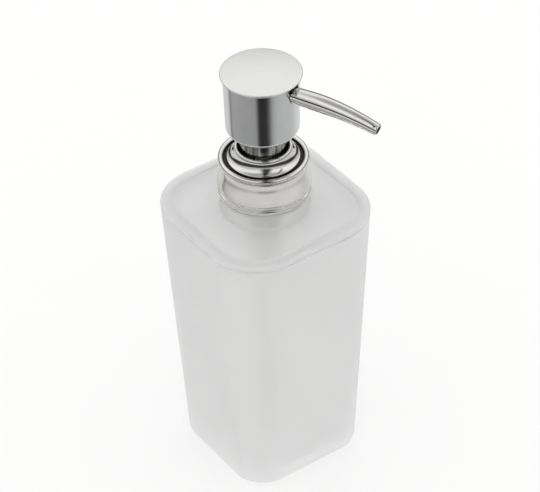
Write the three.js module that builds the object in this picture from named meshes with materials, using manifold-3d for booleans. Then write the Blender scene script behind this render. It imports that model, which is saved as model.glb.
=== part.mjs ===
// Soap pump dispenser: a tapered square bottle with rounded corners, a lid with a threaded neck
// and a screw-on lotion pump with a turning spout.
// Millimetres, +Z up, base on z = 0, origin at the centre of the base, flat sides facing X and Y.
import * as THREE from 'three';
import { mergeVertices } from 'three/addons/utils/BufferGeometryUtils.js';
import Module from 'manifold-3d';

const wasm = await Module();
wasm.setup();

// ---------------------------------------------------------------- driving dimensions

// Bottle
const BOTTLE_HEIGHT = 117.3;
const BASE_WIDTH = 55.5;
const TOP_WIDTH = 70;
const BASE_CORNER_R = 13;
const TOP_CORNER_R = 21.3;
const CUP_WALL = 2.4;
const CUP_FLOOR = 4;
const FOOT_ROUND = 1.4;
const FLOOR_ROUND = 3;

// Lid, boss and neck
const LID_THICKNESS = 2.2;
const LID_ROUND = 1.3;
const LID_RIB_DEPTH = 4;
const LID_RIB_WALL = 1.8;
const BOSS_HEIGHT = 7;
const BOSS_WALL = 2.5;
const BOSS_FILLET = 1.6;
const NECK_RUNOUT = 2;
const NECK_WALL = 2;

// Screw thread, six turns to the inch
const THREAD_PITCH = 25.4 / 6;
const THREAD_TURNS = 1.25;
const THREAD_DEPTH = 0.85;
const THREAD_ROOT_HEIGHT = 2;
const THREAD_CREST_HEIGHT = 1;
const THREAD_LEAD = 0.8;
const THREAD_LAG_TURNS = 0.4;

// Head: the part that is pushed
const SLEEVE_R = 9.03;
const HEAD_OVERHANG = 4.97;
const HEAD_TAPER = 0.42;
const HEAD_SHELL_HEIGHT = 24.7;
const HEAD_ROUND = 2.6;
const CAP_OVERHANG = 1.14;
const CAP_HEIGHT = 1.9;
const CAP_EDGE = 0.85;
const CAP_DOME = 0.6;
const SLEEVE_DROP = 6.8;
const SHEET = 0.55;

// Spout
const SPOUT_HEADING = 24;
const SPOUT_ROOT_R = 3.17;
const SPOUT_BELLY_R = 3.41;
const SPOUT_TIP_R = 2.4;
const SPOUT_WALL = 0.6;
const SPOUT_REACH = 49.5;
const SPOUT_STRAIGHT = 9;
const SPOUT_DROOP = 15.8;
const SPOUT_CAP_DROP = 0.8;
const LINER_R = 1.55;
const LINER_BORE_R = 1.05;
const NOZZLE_LENGTH = 3.2;

// Collar
const CLOSURE_WALL = 1.7;
const CLOSURE_PANEL = 1.5;
const COLLAR_FLARE = 1.1;
const COLLAR_BAND = 1.05;
const RIM_HEIGHT = 1.5;
const BOSS_STEP = 0.85;

// Pump
const STROKE = 6.8;
const STEM_R = 3.4;
const STEM_LOWER_R = 2.7;
const STEM_BORE_R = 1.9;
const STEM_TO_SPOUT = 8.6;
const PORT_WIDTH = 1.4;
const PORT_HEIGHT = 1;
const CHAPLET_WALL = 0.7;
const CHAPLET_DECK = 1.1;
const CHAPLET_PLUG_DEPTH = 8;
const RING_HEIGHT = 5.75;
const RING_COVER = 3.4;
const FLANGE_THICKNESS = 1.3;
const FLANGE_BITE = 2.25;
const GASKET_THICKNESS = 1.2;
const HOUSING_WALL = 1.1;
const HOUSING_SHOULDER = 3.5;
const VENT_ROOM = 2.2;
const VENT_R = 0.6;
const BARREL_R = 6.5;
const BARREL_BORE_R = 5.4;
const PISTON_LENGTH = 5.1;
const PISTON_SLIP = 1.2;
const PISTON_LEAD_IN = 1.3;
const POPPET_FLANGE = 1.2;
const POPPET_PLUG = 6;
const SPRING_R = 4;
const SPRING_WIRE_R = 0.42;
const SPRING_COILS = 5.5;
const SPRING_SOLID = 8.2;
const BALL_R = 2.4;
const BALL_LIFT = 1.7;
const SEAT_BORE_R = 1.4;
const SEAT_LAND = 1.4;
const CAGE_HOLE_R = 1.8;
const CAGE_THICKNESS = 1.5;
const CAGE_SLOT = 1.4;
const DIP_TUBE_R = 2.6;
const DIP_TUBE_BORE_R = 1.8;
const DIP_SOCKET_DEPTH = 9;
const DIP_FLOOR_GAP = 2;

// Clearances
const SEAM_GAP = 0.3;
const RUN_GAP = 0.3;
const REST_GAP = 0.1;
const FIT_GAP = 0.15;
const TURN_GAP = 0.2;
const THREAD_GAP = 0.3;
const WELL_GAP = 0.57;

// Points round a circle, by size of the piece
const COARSE = 16;
const MEDIUM = 24;
const FINE = 36;
const CORNER_STEPS = 7;

// ---------------------------------------------------------------- derived sizes

// Radii, from the sleeve outwards
const WELL_R = SLEEVE_R + WELL_GAP;
const CHAPLET_R = WELL_R + CHAPLET_WALL;
const CLOSURE_HOLE_R = CHAPLET_R + RUN_GAP;
const FLANGE_R = CLOSURE_HOLE_R + FLANGE_BITE;
const CLOSURE_CREST_R = FLANGE_R + RUN_GAP;
const NECK_ROOT_R = CLOSURE_CREST_R - THREAD_GAP;
const NECK_CREST_R = NECK_ROOT_R + THREAD_DEPTH;
const NECK_BORE_R = NECK_ROOT_R - NECK_WALL;
const CLOSURE_ROOT_R = NECK_CREST_R + THREAD_GAP;
const CLOSURE_TOP_R = CLOSURE_ROOT_R + CLOSURE_WALL;
const CLOSURE_BOTTOM_R = CLOSURE_TOP_R + COLLAR_FLARE;
const SHELL_TOP_R = CLOSURE_TOP_R + RUN_GAP;
const SHELL_BOTTOM_R = CLOSURE_BOTTOM_R + RUN_GAP + REST_GAP;
const COLLAR_COVE_R = SHELL_TOP_R + SHEET;
const COLLAR_BAND_R = SHELL_BOTTOM_R + COLLAR_BAND;
const BOSS_R = COLLAR_BAND_R - BOSS_STEP;
const RING_FOOT_R = CLOSURE_HOLE_R + RING_COVER;
const HOUSING_HEAD_R = NECK_BORE_R - RUN_GAP - FIT_GAP;
const HOUSING_HEAD_BORE_R = HOUSING_HEAD_R - HOUSING_WALL;
const CHAPLET_PLUG_R = HOUSING_HEAD_BORE_R - FIT_GAP;
const STEM_HOLE_R = STEM_R + TURN_GAP;
const HEAD_BASE_R = SLEEVE_R + HEAD_OVERHANG;
const HEAD_R = HEAD_BASE_R + HEAD_TAPER;
const CAP_R = HEAD_R + CAP_OVERHANG;
const CORE_R = HEAD_BASE_R - SHEET - TURN_GAP;
const DIP_SOCKET_R = DIP_TUBE_R + REST_GAP;

// Heights, from the base upwards
const LID_UNDER = BOTTLE_HEIGHT - LID_THICKNESS;
const CUP_TOP = LID_UNDER - SEAM_GAP;
const BOSS_TOP = BOTTLE_HEIGHT + BOSS_HEIGHT;
const NECK_THREAD_START = BOSS_TOP + NECK_RUNOUT + THREAD_ROOT_HEIGHT / 2;
const NECK_THREAD_END = NECK_THREAD_START + THREAD_PITCH * THREAD_TURNS;
const NECK_TOP = NECK_THREAD_END + THREAD_ROOT_HEIGHT / 2 + THREAD_LEAD;
const GASKET_BOTTOM = NECK_TOP + REST_GAP;
const FLANGE_BOTTOM = GASKET_BOTTOM + GASKET_THICKNESS + REST_GAP;
const FLANGE_TOP = FLANGE_BOTTOM + FLANGE_THICKNESS;
const CLOSURE_UNDER = FLANGE_TOP + RUN_GAP;
const CLOSURE_TOP = CLOSURE_UNDER + CLOSURE_PANEL;
const COLLAR_BOTTOM = BOSS_TOP + RUN_GAP + REST_GAP;
const RIM_TOP = CLOSURE_TOP + RIM_HEIGHT;
const DECK_UNDER = FLANGE_TOP + REST_GAP;
const DECK_TOP = DECK_UNDER + CHAPLET_DECK;
const RING_FOOT = CLOSURE_TOP + RUN_GAP + FIT_GAP;
const RING_TOP = RING_FOOT + RING_HEIGHT;
const HEAD_BOTTOM = RING_TOP + STROKE + RUN_GAP;
const SLEEVE_BOTTOM = HEAD_BOTTOM - SLEEVE_DROP;
const SHELL_TOP = HEAD_BOTTOM + HEAD_SHELL_HEIGHT;
const CAP_UNDER = SHELL_TOP + TURN_GAP;
const CAP_TOP = CAP_UNDER + CAP_HEIGHT;
const SPOUT_Z = SHELL_TOP - SPOUT_CAP_DROP - SPOUT_ROOT_R;

// Heights, from the pump's flange downwards
const PLUG_BOTTOM = FLANGE_TOP - CHAPLET_PLUG_DEPTH;
const HOUSING_HEAD_BOTTOM = PLUG_BOTTOM - VENT_ROOM;
const BARREL_TOP = HOUSING_HEAD_BOTTOM - HOUSING_SHOULDER;
const PISTON_TOP = BARREL_TOP - PISTON_SLIP - PISTON_LEAD_IN;
const PISTON_BOTTOM = PISTON_TOP - PISTON_LENGTH;
const STEM_SHOULDER = PISTON_TOP + PISTON_SLIP + REST_GAP;
const POPPET_TOP = PISTON_BOTTOM - REST_GAP;
const POPPET_UNDER = POPPET_TOP - POPPET_FLANGE;
const STEM_BOTTOM = POPPET_TOP + TURN_GAP;
const STEM_TOP = SPOUT_Z - STEM_TO_SPOUT;
const CAGE_TOP = POPPET_UNDER - STROKE - SPRING_SOLID;
const CAGE_UNDER = CAGE_TOP - CAGE_THICKNESS;
const BALL_Z = CAGE_UNDER - BALL_LIFT - REST_GAP - Math.sqrt(BALL_R ** 2 - CAGE_HOLE_R ** 2);
const SEAT_Z = BALL_Z + SEAT_BORE_R - (BALL_R + REST_GAP) * Math.SQRT2;
const CONE_TOP = SEAT_Z + BARREL_BORE_R - SEAT_BORE_R;
const SOCKET_TOP = SEAT_Z - SEAT_LAND;
const HOUSING_BOTTOM = SOCKET_TOP - DIP_SOCKET_DEPTH;

// ---------------------------------------------------------------- surfaces and solids

// Adds the faces between two rings of points; a ring of one point is an apex.
function addBand(faces, low, lowCount, high, highCount) {
  const count = Math.max(lowCount, highCount);
  for (let k = 0; k < count; k += 1) {
    const next = (k + 1) % count;
    if (highCount > 1) {
      faces.push(low + (lowCount > 1 ? k : 0), high + next, high + k);
    }
    if (lowCount > 1) {
      faces.push(low + k, low + next, high + (highCount > 1 ? next : 0));
    }
  }
}

// Closed surface through a run of rings. It ends on an apex at both ends, or the last ring meets the first.
function skin(rings) {
  const starts = [];
  const positions = [];
  for (const ring of rings) {
    starts.push(positions.length / 3);
    ring.forEach((point) => positions.push(point.x, point.y, point.z));
  }
  const faces = [];
  const spans = rings[0].length === 1 ? rings.length - 1 : rings.length;
  for (let i = 0; i < spans; i += 1) {
    const j = (i + 1) % rings.length;
    addBand(faces, starts[i], rings[i].length, starts[j], rings[j].length);
  }
  const geometry = new THREE.BufferGeometry();
  geometry.setAttribute('position', new THREE.Float32BufferAttribute(positions, 3));
  geometry.setIndex(faces);
  return geometry;
}

// One shared vertex for each point, without the faces that have shrunk to a line on the axis.
function weld(geometry) {
  geometry.deleteAttribute('normal');
  geometry.deleteAttribute('uv');
  const welded = mergeVertices(geometry);
  const faces = welded.getIndex().array;
  const kept = [];
  for (let i = 0; i < faces.length; i += 3) {
    const [a, b, c] = faces.slice(i, i + 3);
    if (a !== b && b !== c && c !== a) {
      kept.push(a, b, c);
    }
  }
  welded.setIndex(kept);
  return welded;
}

// Solid of revolution about Z. The profile's outer side runs upwards, and it ends on the axis or closes.
function turned(profile, count) {
  const points = profile.map(([radius, z]) => new THREE.Vector2(radius, z));
  if (profile[0][0] > 0) {
    points.push(points[0].clone());
  }
  return weld(new THREE.LatheGeometry(points, count).rotateX(Math.PI / 2));
}

// The bottle's section at a height: a rounded square, set in from the outer faces.
function bottleRing(inset, z) {
  const share = z / BOTTLE_HEIGHT;
  const half = (BASE_WIDTH + (TOP_WIDTH - BASE_WIDTH) * share) / 2 - inset;
  const corner = BASE_CORNER_R + (TOP_CORNER_R - BASE_CORNER_R) * share - inset;
  const ring = [];
  for (let side = 0; side < 4; side += 1) {
    const turn = (side * Math.PI) / 2;
    const centre = new THREE.Vector2(half - corner, half - corner);
    for (let k = 0; k <= CORNER_STEPS; k += 1) {
      const angle = (k * Math.PI) / 2 / CORNER_STEPS;
      const point = new THREE.Vector2(Math.cos(angle), Math.sin(angle)).multiplyScalar(corner).add(centre);
      point.rotateAround(new THREE.Vector2(), turn);
      ring.push(new THREE.Vector3(point.x, point.y, z));
    }
  }
  return ring;
}

// Body whose sections are all the bottle's own; a null inset is the apex on the axis.
function squareTurned(profile) {
  const apex = (z) => [new THREE.Vector3(0, 0, z)];
  return skin(profile.map(([inset, z]) => (inset === null ? apex(z) : bottleRing(inset, z))));
}

// Profile points along a circle between two angles, in degrees.
function arc(centreR, centreZ, radius, from, to, steps) {
  return Array.from({ length: steps + 1 }, (_, k) => {
    const angle = THREE.MathUtils.degToRad(from + ((to - from) * k) / steps);
    return [centreR + radius * Math.cos(angle), centreZ + radius * Math.sin(angle)];
  });
}

// Ring of points round a path point, square to the tangent.
function tubeRing(centre, tangent, side, radius, count) {
  const across = new THREE.Vector3().crossVectors(tangent, side);
  return Array.from({ length: count }, (_, k) => {
    const angle = (2 * Math.PI * k) / count;
    return centre
      .clone()
      .addScaledVector(side, radius * Math.cos(angle))
      .addScaledVector(across, radius * Math.sin(angle));
  });
}

// Straight rod between two points.
function rod(from, to, radius, count) {
  const along = to.clone().sub(from);
  const geometry = new THREE.CylinderGeometry(radius, radius, along.length(), count);
  const turn = new THREE.Quaternion().setFromUnitVectors(new THREE.Vector3(0, 1, 0), along.normalize());
  const middle = from.clone().lerp(to, 0.5);
  return weld(geometry.applyQuaternion(turn).translate(middle.x, middle.y, middle.z));
}

// Box between two corners, turned about Z.
function block(low, high, heading = 0) {
  const size = high.map((value, axis) => value - low[axis]);
  const middle = high.map((value, axis) => (value + low[axis]) / 2);
  return weld(new THREE.BoxGeometry(...size).translate(...middle).rotateZ(heading));
}

// Round rod or tube along a curve.
function swept(curve, radius, boreR, steps, sides) {
  const section = new THREE.Shape().absarc(0, 0, radius, 0, 2 * Math.PI);
  if (boreR > 0) {
    section.holes.push(new THREE.Path().absarc(0, 0, boreR, 0, 2 * Math.PI, true));
  }
  const options = { extrudePath: curve, steps, curveSegments: sides / 2, bevelEnabled: false };
  return weld(new THREE.ExtrudeGeometry(section, options));
}

function toManifold(geometry) {
  const { Manifold, Mesh } = wasm;
  return new Manifold(
    new Mesh({
      numProp: 3,
      vertProperties: new Float32Array(geometry.getAttribute('position').array),
      triVerts: new Uint32Array(geometry.getIndex().array),
    })
  );
}

// Joins the first group of surfaces into one body and cuts the second group away.
function combine(added, removed = []) {
  let body = added.map(toManifold).reduce((sum, next) => sum.add(next));
  for (const cutter of removed.map(toManifold)) {
    body = body.subtract(cutter);
  }
  const mesh = body.getMesh();
  const geometry = new THREE.BufferGeometry();
  geometry.setAttribute('position', new THREE.Float32BufferAttribute(mesh.vertProperties, 3));
  geometry.setIndex(Array.from(mesh.triVerts));
  return geometry;
}

// Helical ridge of trapezoid section on the helix that passes startZ at turn 0, from one turn to another.
// Depth is positive outwards, and the ends fade into the wall.
function threadRidge(wallR, depth, startZ, fromTurn, toTurn) {
  const steps = Math.round((toTurn - fromTurn) * 24);
  const buried = -0.4 * Math.sign(depth);
  const ringAt = (i) => {
    const angle = 2 * Math.PI * THREE.MathUtils.lerp(fromTurn, toTurn, i / steps);
    const fade = Math.min(1, i / 2, (steps - i) / 2) * 0.94 + 0.06;
    const z = startZ + (THREAD_PITCH * angle) / (2 * Math.PI);
    const root = THREAD_ROOT_HEIGHT / 2;
    const crest = THREAD_CREST_HEIGHT / 2;
    const section = [
      [wallR + buried, z + root],
      [wallR + buried, z - root],
      [wallR + depth * fade, z - crest],
      [wallR + depth * fade, z + crest],
    ];
    const ordered = depth > 0 ? section.reverse() : section;
    return ordered.map(([r, height]) => new THREE.Vector3(r * Math.cos(angle), r * Math.sin(angle), height));
  };
  const rings = Array.from({ length: steps + 1 }, (_, i) => ringAt(i));
  const apex = (ring) => [
    ring.reduce((sum, point) => sum.add(point), new THREE.Vector3()).divideScalar(ring.length),
  ];
  return skin([apex(rings[0]), ...rings, apex(rings[steps])]);
}

// ---------------------------------------------------------------- bottle

function bottleBody() {
  const foot = arc(FOOT_ROUND, FOOT_ROUND, FOOT_ROUND, 270, 180, 3);
  const floor = arc(CUP_WALL + FLOOR_ROUND, CUP_FLOOR + FLOOR_ROUND, FLOOR_ROUND, 180, 270, 3);
  return squareTurned([
    [null, 0],
    ...foot,
    [0, CUP_TOP],
    [CUP_WALL, CUP_TOP],
    ...floor,
    [null, CUP_FLOOR],
  ]);
}

function bottleTop() {
  const ribOuter = CUP_WALL + SEAM_GAP;
  const ribInner = ribOuter + LID_RIB_WALL;
  const ribBottom = LID_UNDER - LID_RIB_DEPTH;
  const slab = squareTurned([
    [null, LID_UNDER],
    [ribInner, LID_UNDER],
    [ribInner, ribBottom],
    [ribOuter, ribBottom],
    [ribOuter, LID_UNDER],
    [0, LID_UNDER],
    ...arc(LID_ROUND, BOTTLE_HEIGHT - LID_ROUND, LID_ROUND, 180, 90, 4),
    [null, BOTTLE_HEIGHT],
  ]);
  const fillet = arc(BOSS_R + BOSS_FILLET, BOTTLE_HEIGHT + BOSS_FILLET, BOSS_FILLET, 270, 180, 3);
  const neck = turned(
    [
      [0, BOTTLE_HEIGHT - 1],
      [BOSS_R + BOSS_FILLET, BOTTLE_HEIGHT - 1],
      ...fillet,
      [BOSS_R, BOSS_TOP - 0.4],
      [BOSS_R - 0.4, BOSS_TOP],
      [NECK_ROOT_R, BOSS_TOP],
      [NECK_ROOT_R, NECK_TOP - 0.4],
      [NECK_ROOT_R - 0.4, NECK_TOP],
      [0, NECK_TOP],
    ],
    FINE
  );
  const bore = turned(
    [
      [0, ribBottom],
      [BOSS_R - BOSS_WALL, ribBottom],
      [BOSS_R - BOSS_WALL, BOSS_TOP - BOSS_WALL],
      [NECK_BORE_R, BOSS_TOP - BOSS_WALL],
      [NECK_BORE_R, NECK_TOP + 1],
      [0, NECK_TOP + 1],
    ],
    FINE
  );
  const thread = threadRidge(NECK_ROOT_R, THREAD_DEPTH, NECK_THREAD_START, 0, THREAD_TURNS);
  return combine([slab, neck, thread], [bore]);
}

function neckGasket() {
  const inner = HOUSING_HEAD_R + FIT_GAP;
  const outer = NECK_ROOT_R - THREAD_GAP / 2;
  return turned(
    [
      [outer, GASKET_BOTTOM],
      [outer, GASKET_BOTTOM + GASKET_THICKNESS],
      [inner, GASKET_BOTTOM + GASKET_THICKNESS],
      [inner, GASKET_BOTTOM],
    ],
    FINE
  );
}

// ---------------------------------------------------------------- collar

function closure() {
  const bottom = COLLAR_BOTTOM + 1;
  const cap = turned(
    [
      [CLOSURE_BOTTOM_R, bottom],
      [CLOSURE_TOP_R, CLOSURE_TOP - 0.8],
      [CLOSURE_TOP_R - 0.8, CLOSURE_TOP],
      [CLOSURE_HOLE_R, CLOSURE_TOP],
      [CLOSURE_HOLE_R, CLOSURE_UNDER],
      [CLOSURE_ROOT_R, CLOSURE_UNDER],
      [CLOSURE_ROOT_R, bottom],
    ],
    FINE
  );
  const flankRoom = (THREAD_ROOT_HEIGHT + THREAD_CREST_HEIGHT) / 2 + TURN_GAP;
  const startZ = NECK_THREAD_START - flankRoom;
  const lastTurn = THREAD_LAG_TURNS + THREAD_TURNS;
  const thread = threadRidge(CLOSURE_ROOT_R, -THREAD_DEPTH, startZ, THREAD_LAG_TURNS, lastTurn);
  return combine([cap, thread]);
}

function collarShell() {
  const lip = SHELL_BOTTOM_R + SHEET;
  const fold = CLOSURE_TOP_R - TURN_GAP;
  const foldUnder = CLOSURE_TOP + FIT_GAP;
  const beadR = (COLLAR_COVE_R - fold) / 2 + 0.5;
  const beadMid = (COLLAR_COVE_R + fold) / 2 + 0.35;
  return turned(
    [
      [lip + 0.1, COLLAR_BOTTOM],
      [lip + 0.32, COLLAR_BOTTOM + 0.4],
      [lip + 0.32, COLLAR_BOTTOM + 1.2],
      [lip, COLLAR_BOTTOM + 2],
      [COLLAR_BAND_R - 0.1, COLLAR_BOTTOM + 2.6],
      [COLLAR_BAND_R, COLLAR_BOTTOM + 3.4],
      [COLLAR_BAND_R - 0.3, COLLAR_BOTTOM + 5],
      [COLLAR_BAND_R - 0.95, COLLAR_BOTTOM + 8],
      [COLLAR_COVE_R + 0.15, RIM_TOP - 4],
      [COLLAR_COVE_R, RIM_TOP - 2.9],
      ...arc(beadMid, RIM_TOP - beadR, beadR, -60, 160, 6),
      [fold, RIM_TOP - beadR - 0.1],
      [fold, foldUnder],
      [SHELL_TOP_R, foldUnder],
      [SHELL_TOP_R, RIM_TOP - 2.8],
      [SHELL_BOTTOM_R, COLLAR_BOTTOM + 2],
      [SHELL_BOTTOM_R, COLLAR_BOTTOM],
    ],
    FINE
  );
}

// ---------------------------------------------------------------- pump

function pumpHousing() {
  const barrel = turned(
    [
      [DIP_SOCKET_R + HOUSING_WALL, HOUSING_BOTTOM],
      [DIP_SOCKET_R + HOUSING_WALL, SOCKET_TOP - 0.4],
      [BARREL_R, SOCKET_TOP + 3],
      [BARREL_R, BARREL_TOP - 1],
      [HOUSING_HEAD_R, HOUSING_HEAD_BOTTOM - 1],
      [HOUSING_HEAD_R, FLANGE_BOTTOM],
      [FLANGE_R, FLANGE_BOTTOM],
      [FLANGE_R, FLANGE_TOP],
      [HOUSING_HEAD_BORE_R, FLANGE_TOP],
      [HOUSING_HEAD_BORE_R, HOUSING_HEAD_BOTTOM],
      [BARREL_BORE_R, BARREL_TOP],
      [BARREL_BORE_R, CONE_TOP],
      [SEAT_BORE_R, SEAT_Z],
      [SEAT_BORE_R, SOCKET_TOP],
      [DIP_SOCKET_R, SOCKET_TOP],
      [DIP_SOCKET_R, HOUSING_BOTTOM],
    ],
    MEDIUM
  );
  const ventZ = PLUG_BOTTOM - 1;
  const vent = rod(
    new THREE.Vector3(0, HOUSING_HEAD_BORE_R - 1, ventZ),
    new THREE.Vector3(0, HOUSING_HEAD_R + 1, ventZ),
    VENT_R,
    8
  );
  return combine([barrel], [vent]);
}

function chaplet() {
  const flangeUnder = CLOSURE_TOP + RUN_GAP;
  const flangeR = RING_FOOT_R - SHEET - RUN_GAP;
  const plugBore = CHAPLET_PLUG_R - HOUSING_WALL;
  return turned(
    [
      [CHAPLET_PLUG_R - 0.2, PLUG_BOTTOM],
      [CHAPLET_PLUG_R, PLUG_BOTTOM + 0.6],
      [CHAPLET_PLUG_R, DECK_UNDER],
      [CHAPLET_R, DECK_UNDER],
      [CHAPLET_R, flangeUnder],
      [flangeR, flangeUnder],
      [flangeR, flangeUnder + 0.6],
      [CHAPLET_R, flangeUnder + 0.9],
      [CHAPLET_R, RING_TOP - 1.9],
      [WELL_R, RING_TOP - 1.9],
      [WELL_R, DECK_TOP],
      [STEM_HOLE_R, DECK_TOP],
      [STEM_HOLE_R, DECK_UNDER],
      [plugBore, DECK_UNDER],
      [plugBore, PLUG_BOTTOM],
    ],
    MEDIUM
  );
}

function chapletRing() {
  const lipR = WELL_R + 1.1;
  return turned(
    [
      [RING_FOOT_R, RING_FOOT],
      [RING_FOOT_R, RING_FOOT + 0.7],
      [RING_FOOT_R - 0.3, RING_FOOT + 1.1],
      [lipR + 1.75, RING_FOOT + 1.75],
      [lipR + 1.0, RING_FOOT + 2.75],
      [lipR + 0.62, RING_FOOT + 4.1],
      [lipR + 0.75, RING_FOOT + 4.9],
      [lipR + 0.5, RING_TOP - 0.2],
      [lipR, RING_TOP],
      [lipR - 0.6, RING_TOP - 0.25],
      [lipR - 0.85, RING_TOP - 0.9],
      [lipR - 0.85, RING_TOP - 1.6],
      [lipR - 0.25, RING_TOP - 1.75],
      [lipR + 0.1, RING_FOOT + 3.4],
      [lipR + 0.6, RING_FOOT + 2.1],
      [lipR + 1.4, RING_FOOT + 1.15],
      [RING_FOOT_R - SHEET, RING_FOOT + 0.75],
      [RING_FOOT_R - SHEET, RING_FOOT],
    ],
    FINE
  );
}

// Slotted disc on a skirt: it carries the spring and keeps the ball over its seat.
function springSeat() {
  const outer = BARREL_BORE_R - TURN_GAP;
  const ring = turned(
    [
      [outer, CONE_TOP + RUN_GAP],
      [outer, CAGE_TOP],
      [CAGE_HOLE_R, CAGE_TOP],
      [CAGE_HOLE_R, CAGE_UNDER],
      [outer - 0.8, CAGE_UNDER],
      [outer - 0.8, CONE_TOP + RUN_GAP],
    ],
    COARSE
  );
  const half = CAGE_SLOT / 2;
  const slots = [0, 1, 2].map((k) =>
    block([0, -half, CAGE_UNDER - 1], [SPRING_R - 0.6, half, CAGE_TOP + 1], (2 * Math.PI * k) / 3)
  );
  return combine([ring], slots);
}

// Straight tube, its lower end cut on the slant.
function dipTube() {
  const bottom = CUP_FLOOR + DIP_FLOOR_GAP;
  const tube = turned(
    [
      [DIP_TUBE_R, bottom],
      [DIP_TUBE_R, SOCKET_TOP - REST_GAP],
      [DIP_TUBE_BORE_R, SOCKET_TOP - REST_GAP],
      [DIP_TUBE_BORE_R, bottom],
    ],
    COARSE
  );
  const reach = DIP_TUBE_R * 4;
  const wedge = new THREE.BoxGeometry(reach, reach, reach).translate(0, 0, -reach / 2).rotateY(-Math.PI / 4);
  return combine([tube], [weld(wedge.translate(0, 0, bottom + DIP_TUBE_R))]);
}

function inletBall() {
  return weld(new THREE.SphereGeometry(BALL_R, COARSE, 10).rotateX(Math.PI / 2).translate(0, 0, BALL_Z));
}

// Helix with one close coil at each end.
class SpringCurve extends THREE.Curve {
  constructor(bottom, top) {
    super();
    this.bottom = bottom;
    this.top = top;
  }

  height(coil) {
    const closed = 2.4 * SPRING_WIRE_R;
    if (coil < 1) {
      return this.bottom + closed * coil;
    }
    if (coil > SPRING_COILS - 1) {
      return this.top - closed * (SPRING_COILS - coil);
    }
    const open = this.top - this.bottom - 2 * closed;
    return this.bottom + closed + (open * (coil - 1)) / (SPRING_COILS - 2);
  }

  getPoint(t, target = new THREE.Vector3()) {
    const coil = SPRING_COILS * t;
    const angle = 2 * Math.PI * coil;
    return target.set(SPRING_R * Math.cos(angle), SPRING_R * Math.sin(angle), this.height(coil));
  }
}

function mainSpring() {
  const bottom = CAGE_TOP + SPRING_WIRE_R + REST_GAP;
  const top = POPPET_UNDER - SPRING_WIRE_R - REST_GAP;
  return swept(new SpringCurve(bottom, top), SPRING_WIRE_R, 0, Math.round(SPRING_COILS * 12), 6);
}

function piston() {
  const outer = BARREL_BORE_R - FIT_GAP;
  const hub = STEM_LOWER_R + TURN_GAP;
  return turned(
    [
      [outer - 0.5, PISTON_BOTTOM],
      [outer, PISTON_BOTTOM + 0.4],
      [outer - 0.4, PISTON_BOTTOM + 1.6],
      [outer - 0.4, PISTON_TOP - 1.4],
      [outer, PISTON_TOP - 0.3],
      [outer - 0.5, PISTON_TOP],
      [hub + 1.1, PISTON_TOP - 2],
      [hub + 1.1, PISTON_TOP],
      [hub, PISTON_TOP],
      [hub, PISTON_BOTTOM],
    ],
    COARSE
  );
}

// Plug in the stem's lower end: the piston closes on its flange and the spring pushes under it.
function poppet() {
  const plugR = STEM_BORE_R - FIT_GAP;
  const plug = turned(
    [
      [0, POPPET_UNDER - 1.2],
      [SPRING_R - SPRING_WIRE_R - 0.7, POPPET_UNDER - 1.2],
      [SPRING_R - SPRING_WIRE_R - 0.3, POPPET_UNDER],
      [BARREL_BORE_R - 0.7, POPPET_UNDER],
      [BARREL_BORE_R - 0.7, POPPET_TOP - 0.3],
      [BARREL_BORE_R - 1, POPPET_TOP],
      [plugR, POPPET_TOP],
      [plugR, POPPET_TOP + POPPET_PLUG - 0.4],
      [plugR - 0.4, POPPET_TOP + POPPET_PLUG],
      [0, POPPET_TOP + POPPET_PLUG],
    ],
    COARSE
  );
  const fluteTop = POPPET_TOP + POPPET_PLUG + 1;
  const flutes = [0, Math.PI].map((heading) =>
    block([plugR - 0.7, -0.6, POPPET_TOP + TURN_GAP], [plugR + 1, 0.6, fluteTop], heading)
  );
  return combine([plug], flutes);
}

// Hollow push rod; notches in its lower end are the outlet ports.
function stem() {
  const tube = turned(
    [
      [STEM_LOWER_R, STEM_BOTTOM],
      [STEM_LOWER_R, STEM_SHOULDER],
      [STEM_R, STEM_SHOULDER],
      [STEM_R, STEM_TOP],
      [STEM_BORE_R, STEM_TOP],
      [STEM_BORE_R, STEM_BOTTOM],
    ],
    COARSE
  );
  const half = PORT_WIDTH / 2;
  const port = block([-STEM_R - 1, -half, STEM_BOTTOM - 1], [STEM_R + 1, half, STEM_BOTTOM + PORT_HEIGHT]);
  return combine([tube], [port]);
}

// ---------------------------------------------------------------- head and spout

const HEADING = THREE.MathUtils.degToRad(SPOUT_HEADING);
const SPOUT_ROOT = CORE_R - 1.2;

// Point of the spout's centre line, its tangent and the level direction across it.
function spoutFrame(reach) {
  const bendStart = HEAD_R + SPOUT_STRAIGHT;
  const droop = THREE.MathUtils.degToRad(SPOUT_DROOP);
  const bendR = (SPOUT_REACH - bendStart) / Math.sin(droop);
  const past = Math.max(0, reach - bendStart);
  const angle = Math.asin(past / bendR);
  const z = SPOUT_Z - bendR * (1 - Math.cos(angle));
  const ahead = new THREE.Vector3(Math.cos(HEADING), Math.sin(HEADING), 0);
  return {
    point: ahead.clone().multiplyScalar(reach).setZ(z),
    tangent: ahead.clone().multiplyScalar(Math.cos(angle)).setZ(-Math.sin(angle)),
    side: new THREE.Vector3(-Math.sin(HEADING), Math.cos(HEADING), 0),
  };
}

// Outer radius of the spout: a slight belly after the root, then a taper to the tip.
function spoutRadius(reach) {
  const share = THREE.MathUtils.clamp((reach - HEAD_R) / (SPOUT_REACH - HEAD_R), 0, 1);
  const belly = 0.33;
  if (share < belly) {
    return THREE.MathUtils.lerp(SPOUT_ROOT_R, SPOUT_BELLY_R, share / belly);
  }
  return THREE.MathUtils.lerp(SPOUT_BELLY_R, SPOUT_TIP_R, (share - belly) / (1 - belly));
}

function spoutRing(reach, radius, count) {
  const { point, tangent, side } = spoutFrame(reach);
  return tubeRing(point, tangent, side, radius, count);
}

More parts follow.
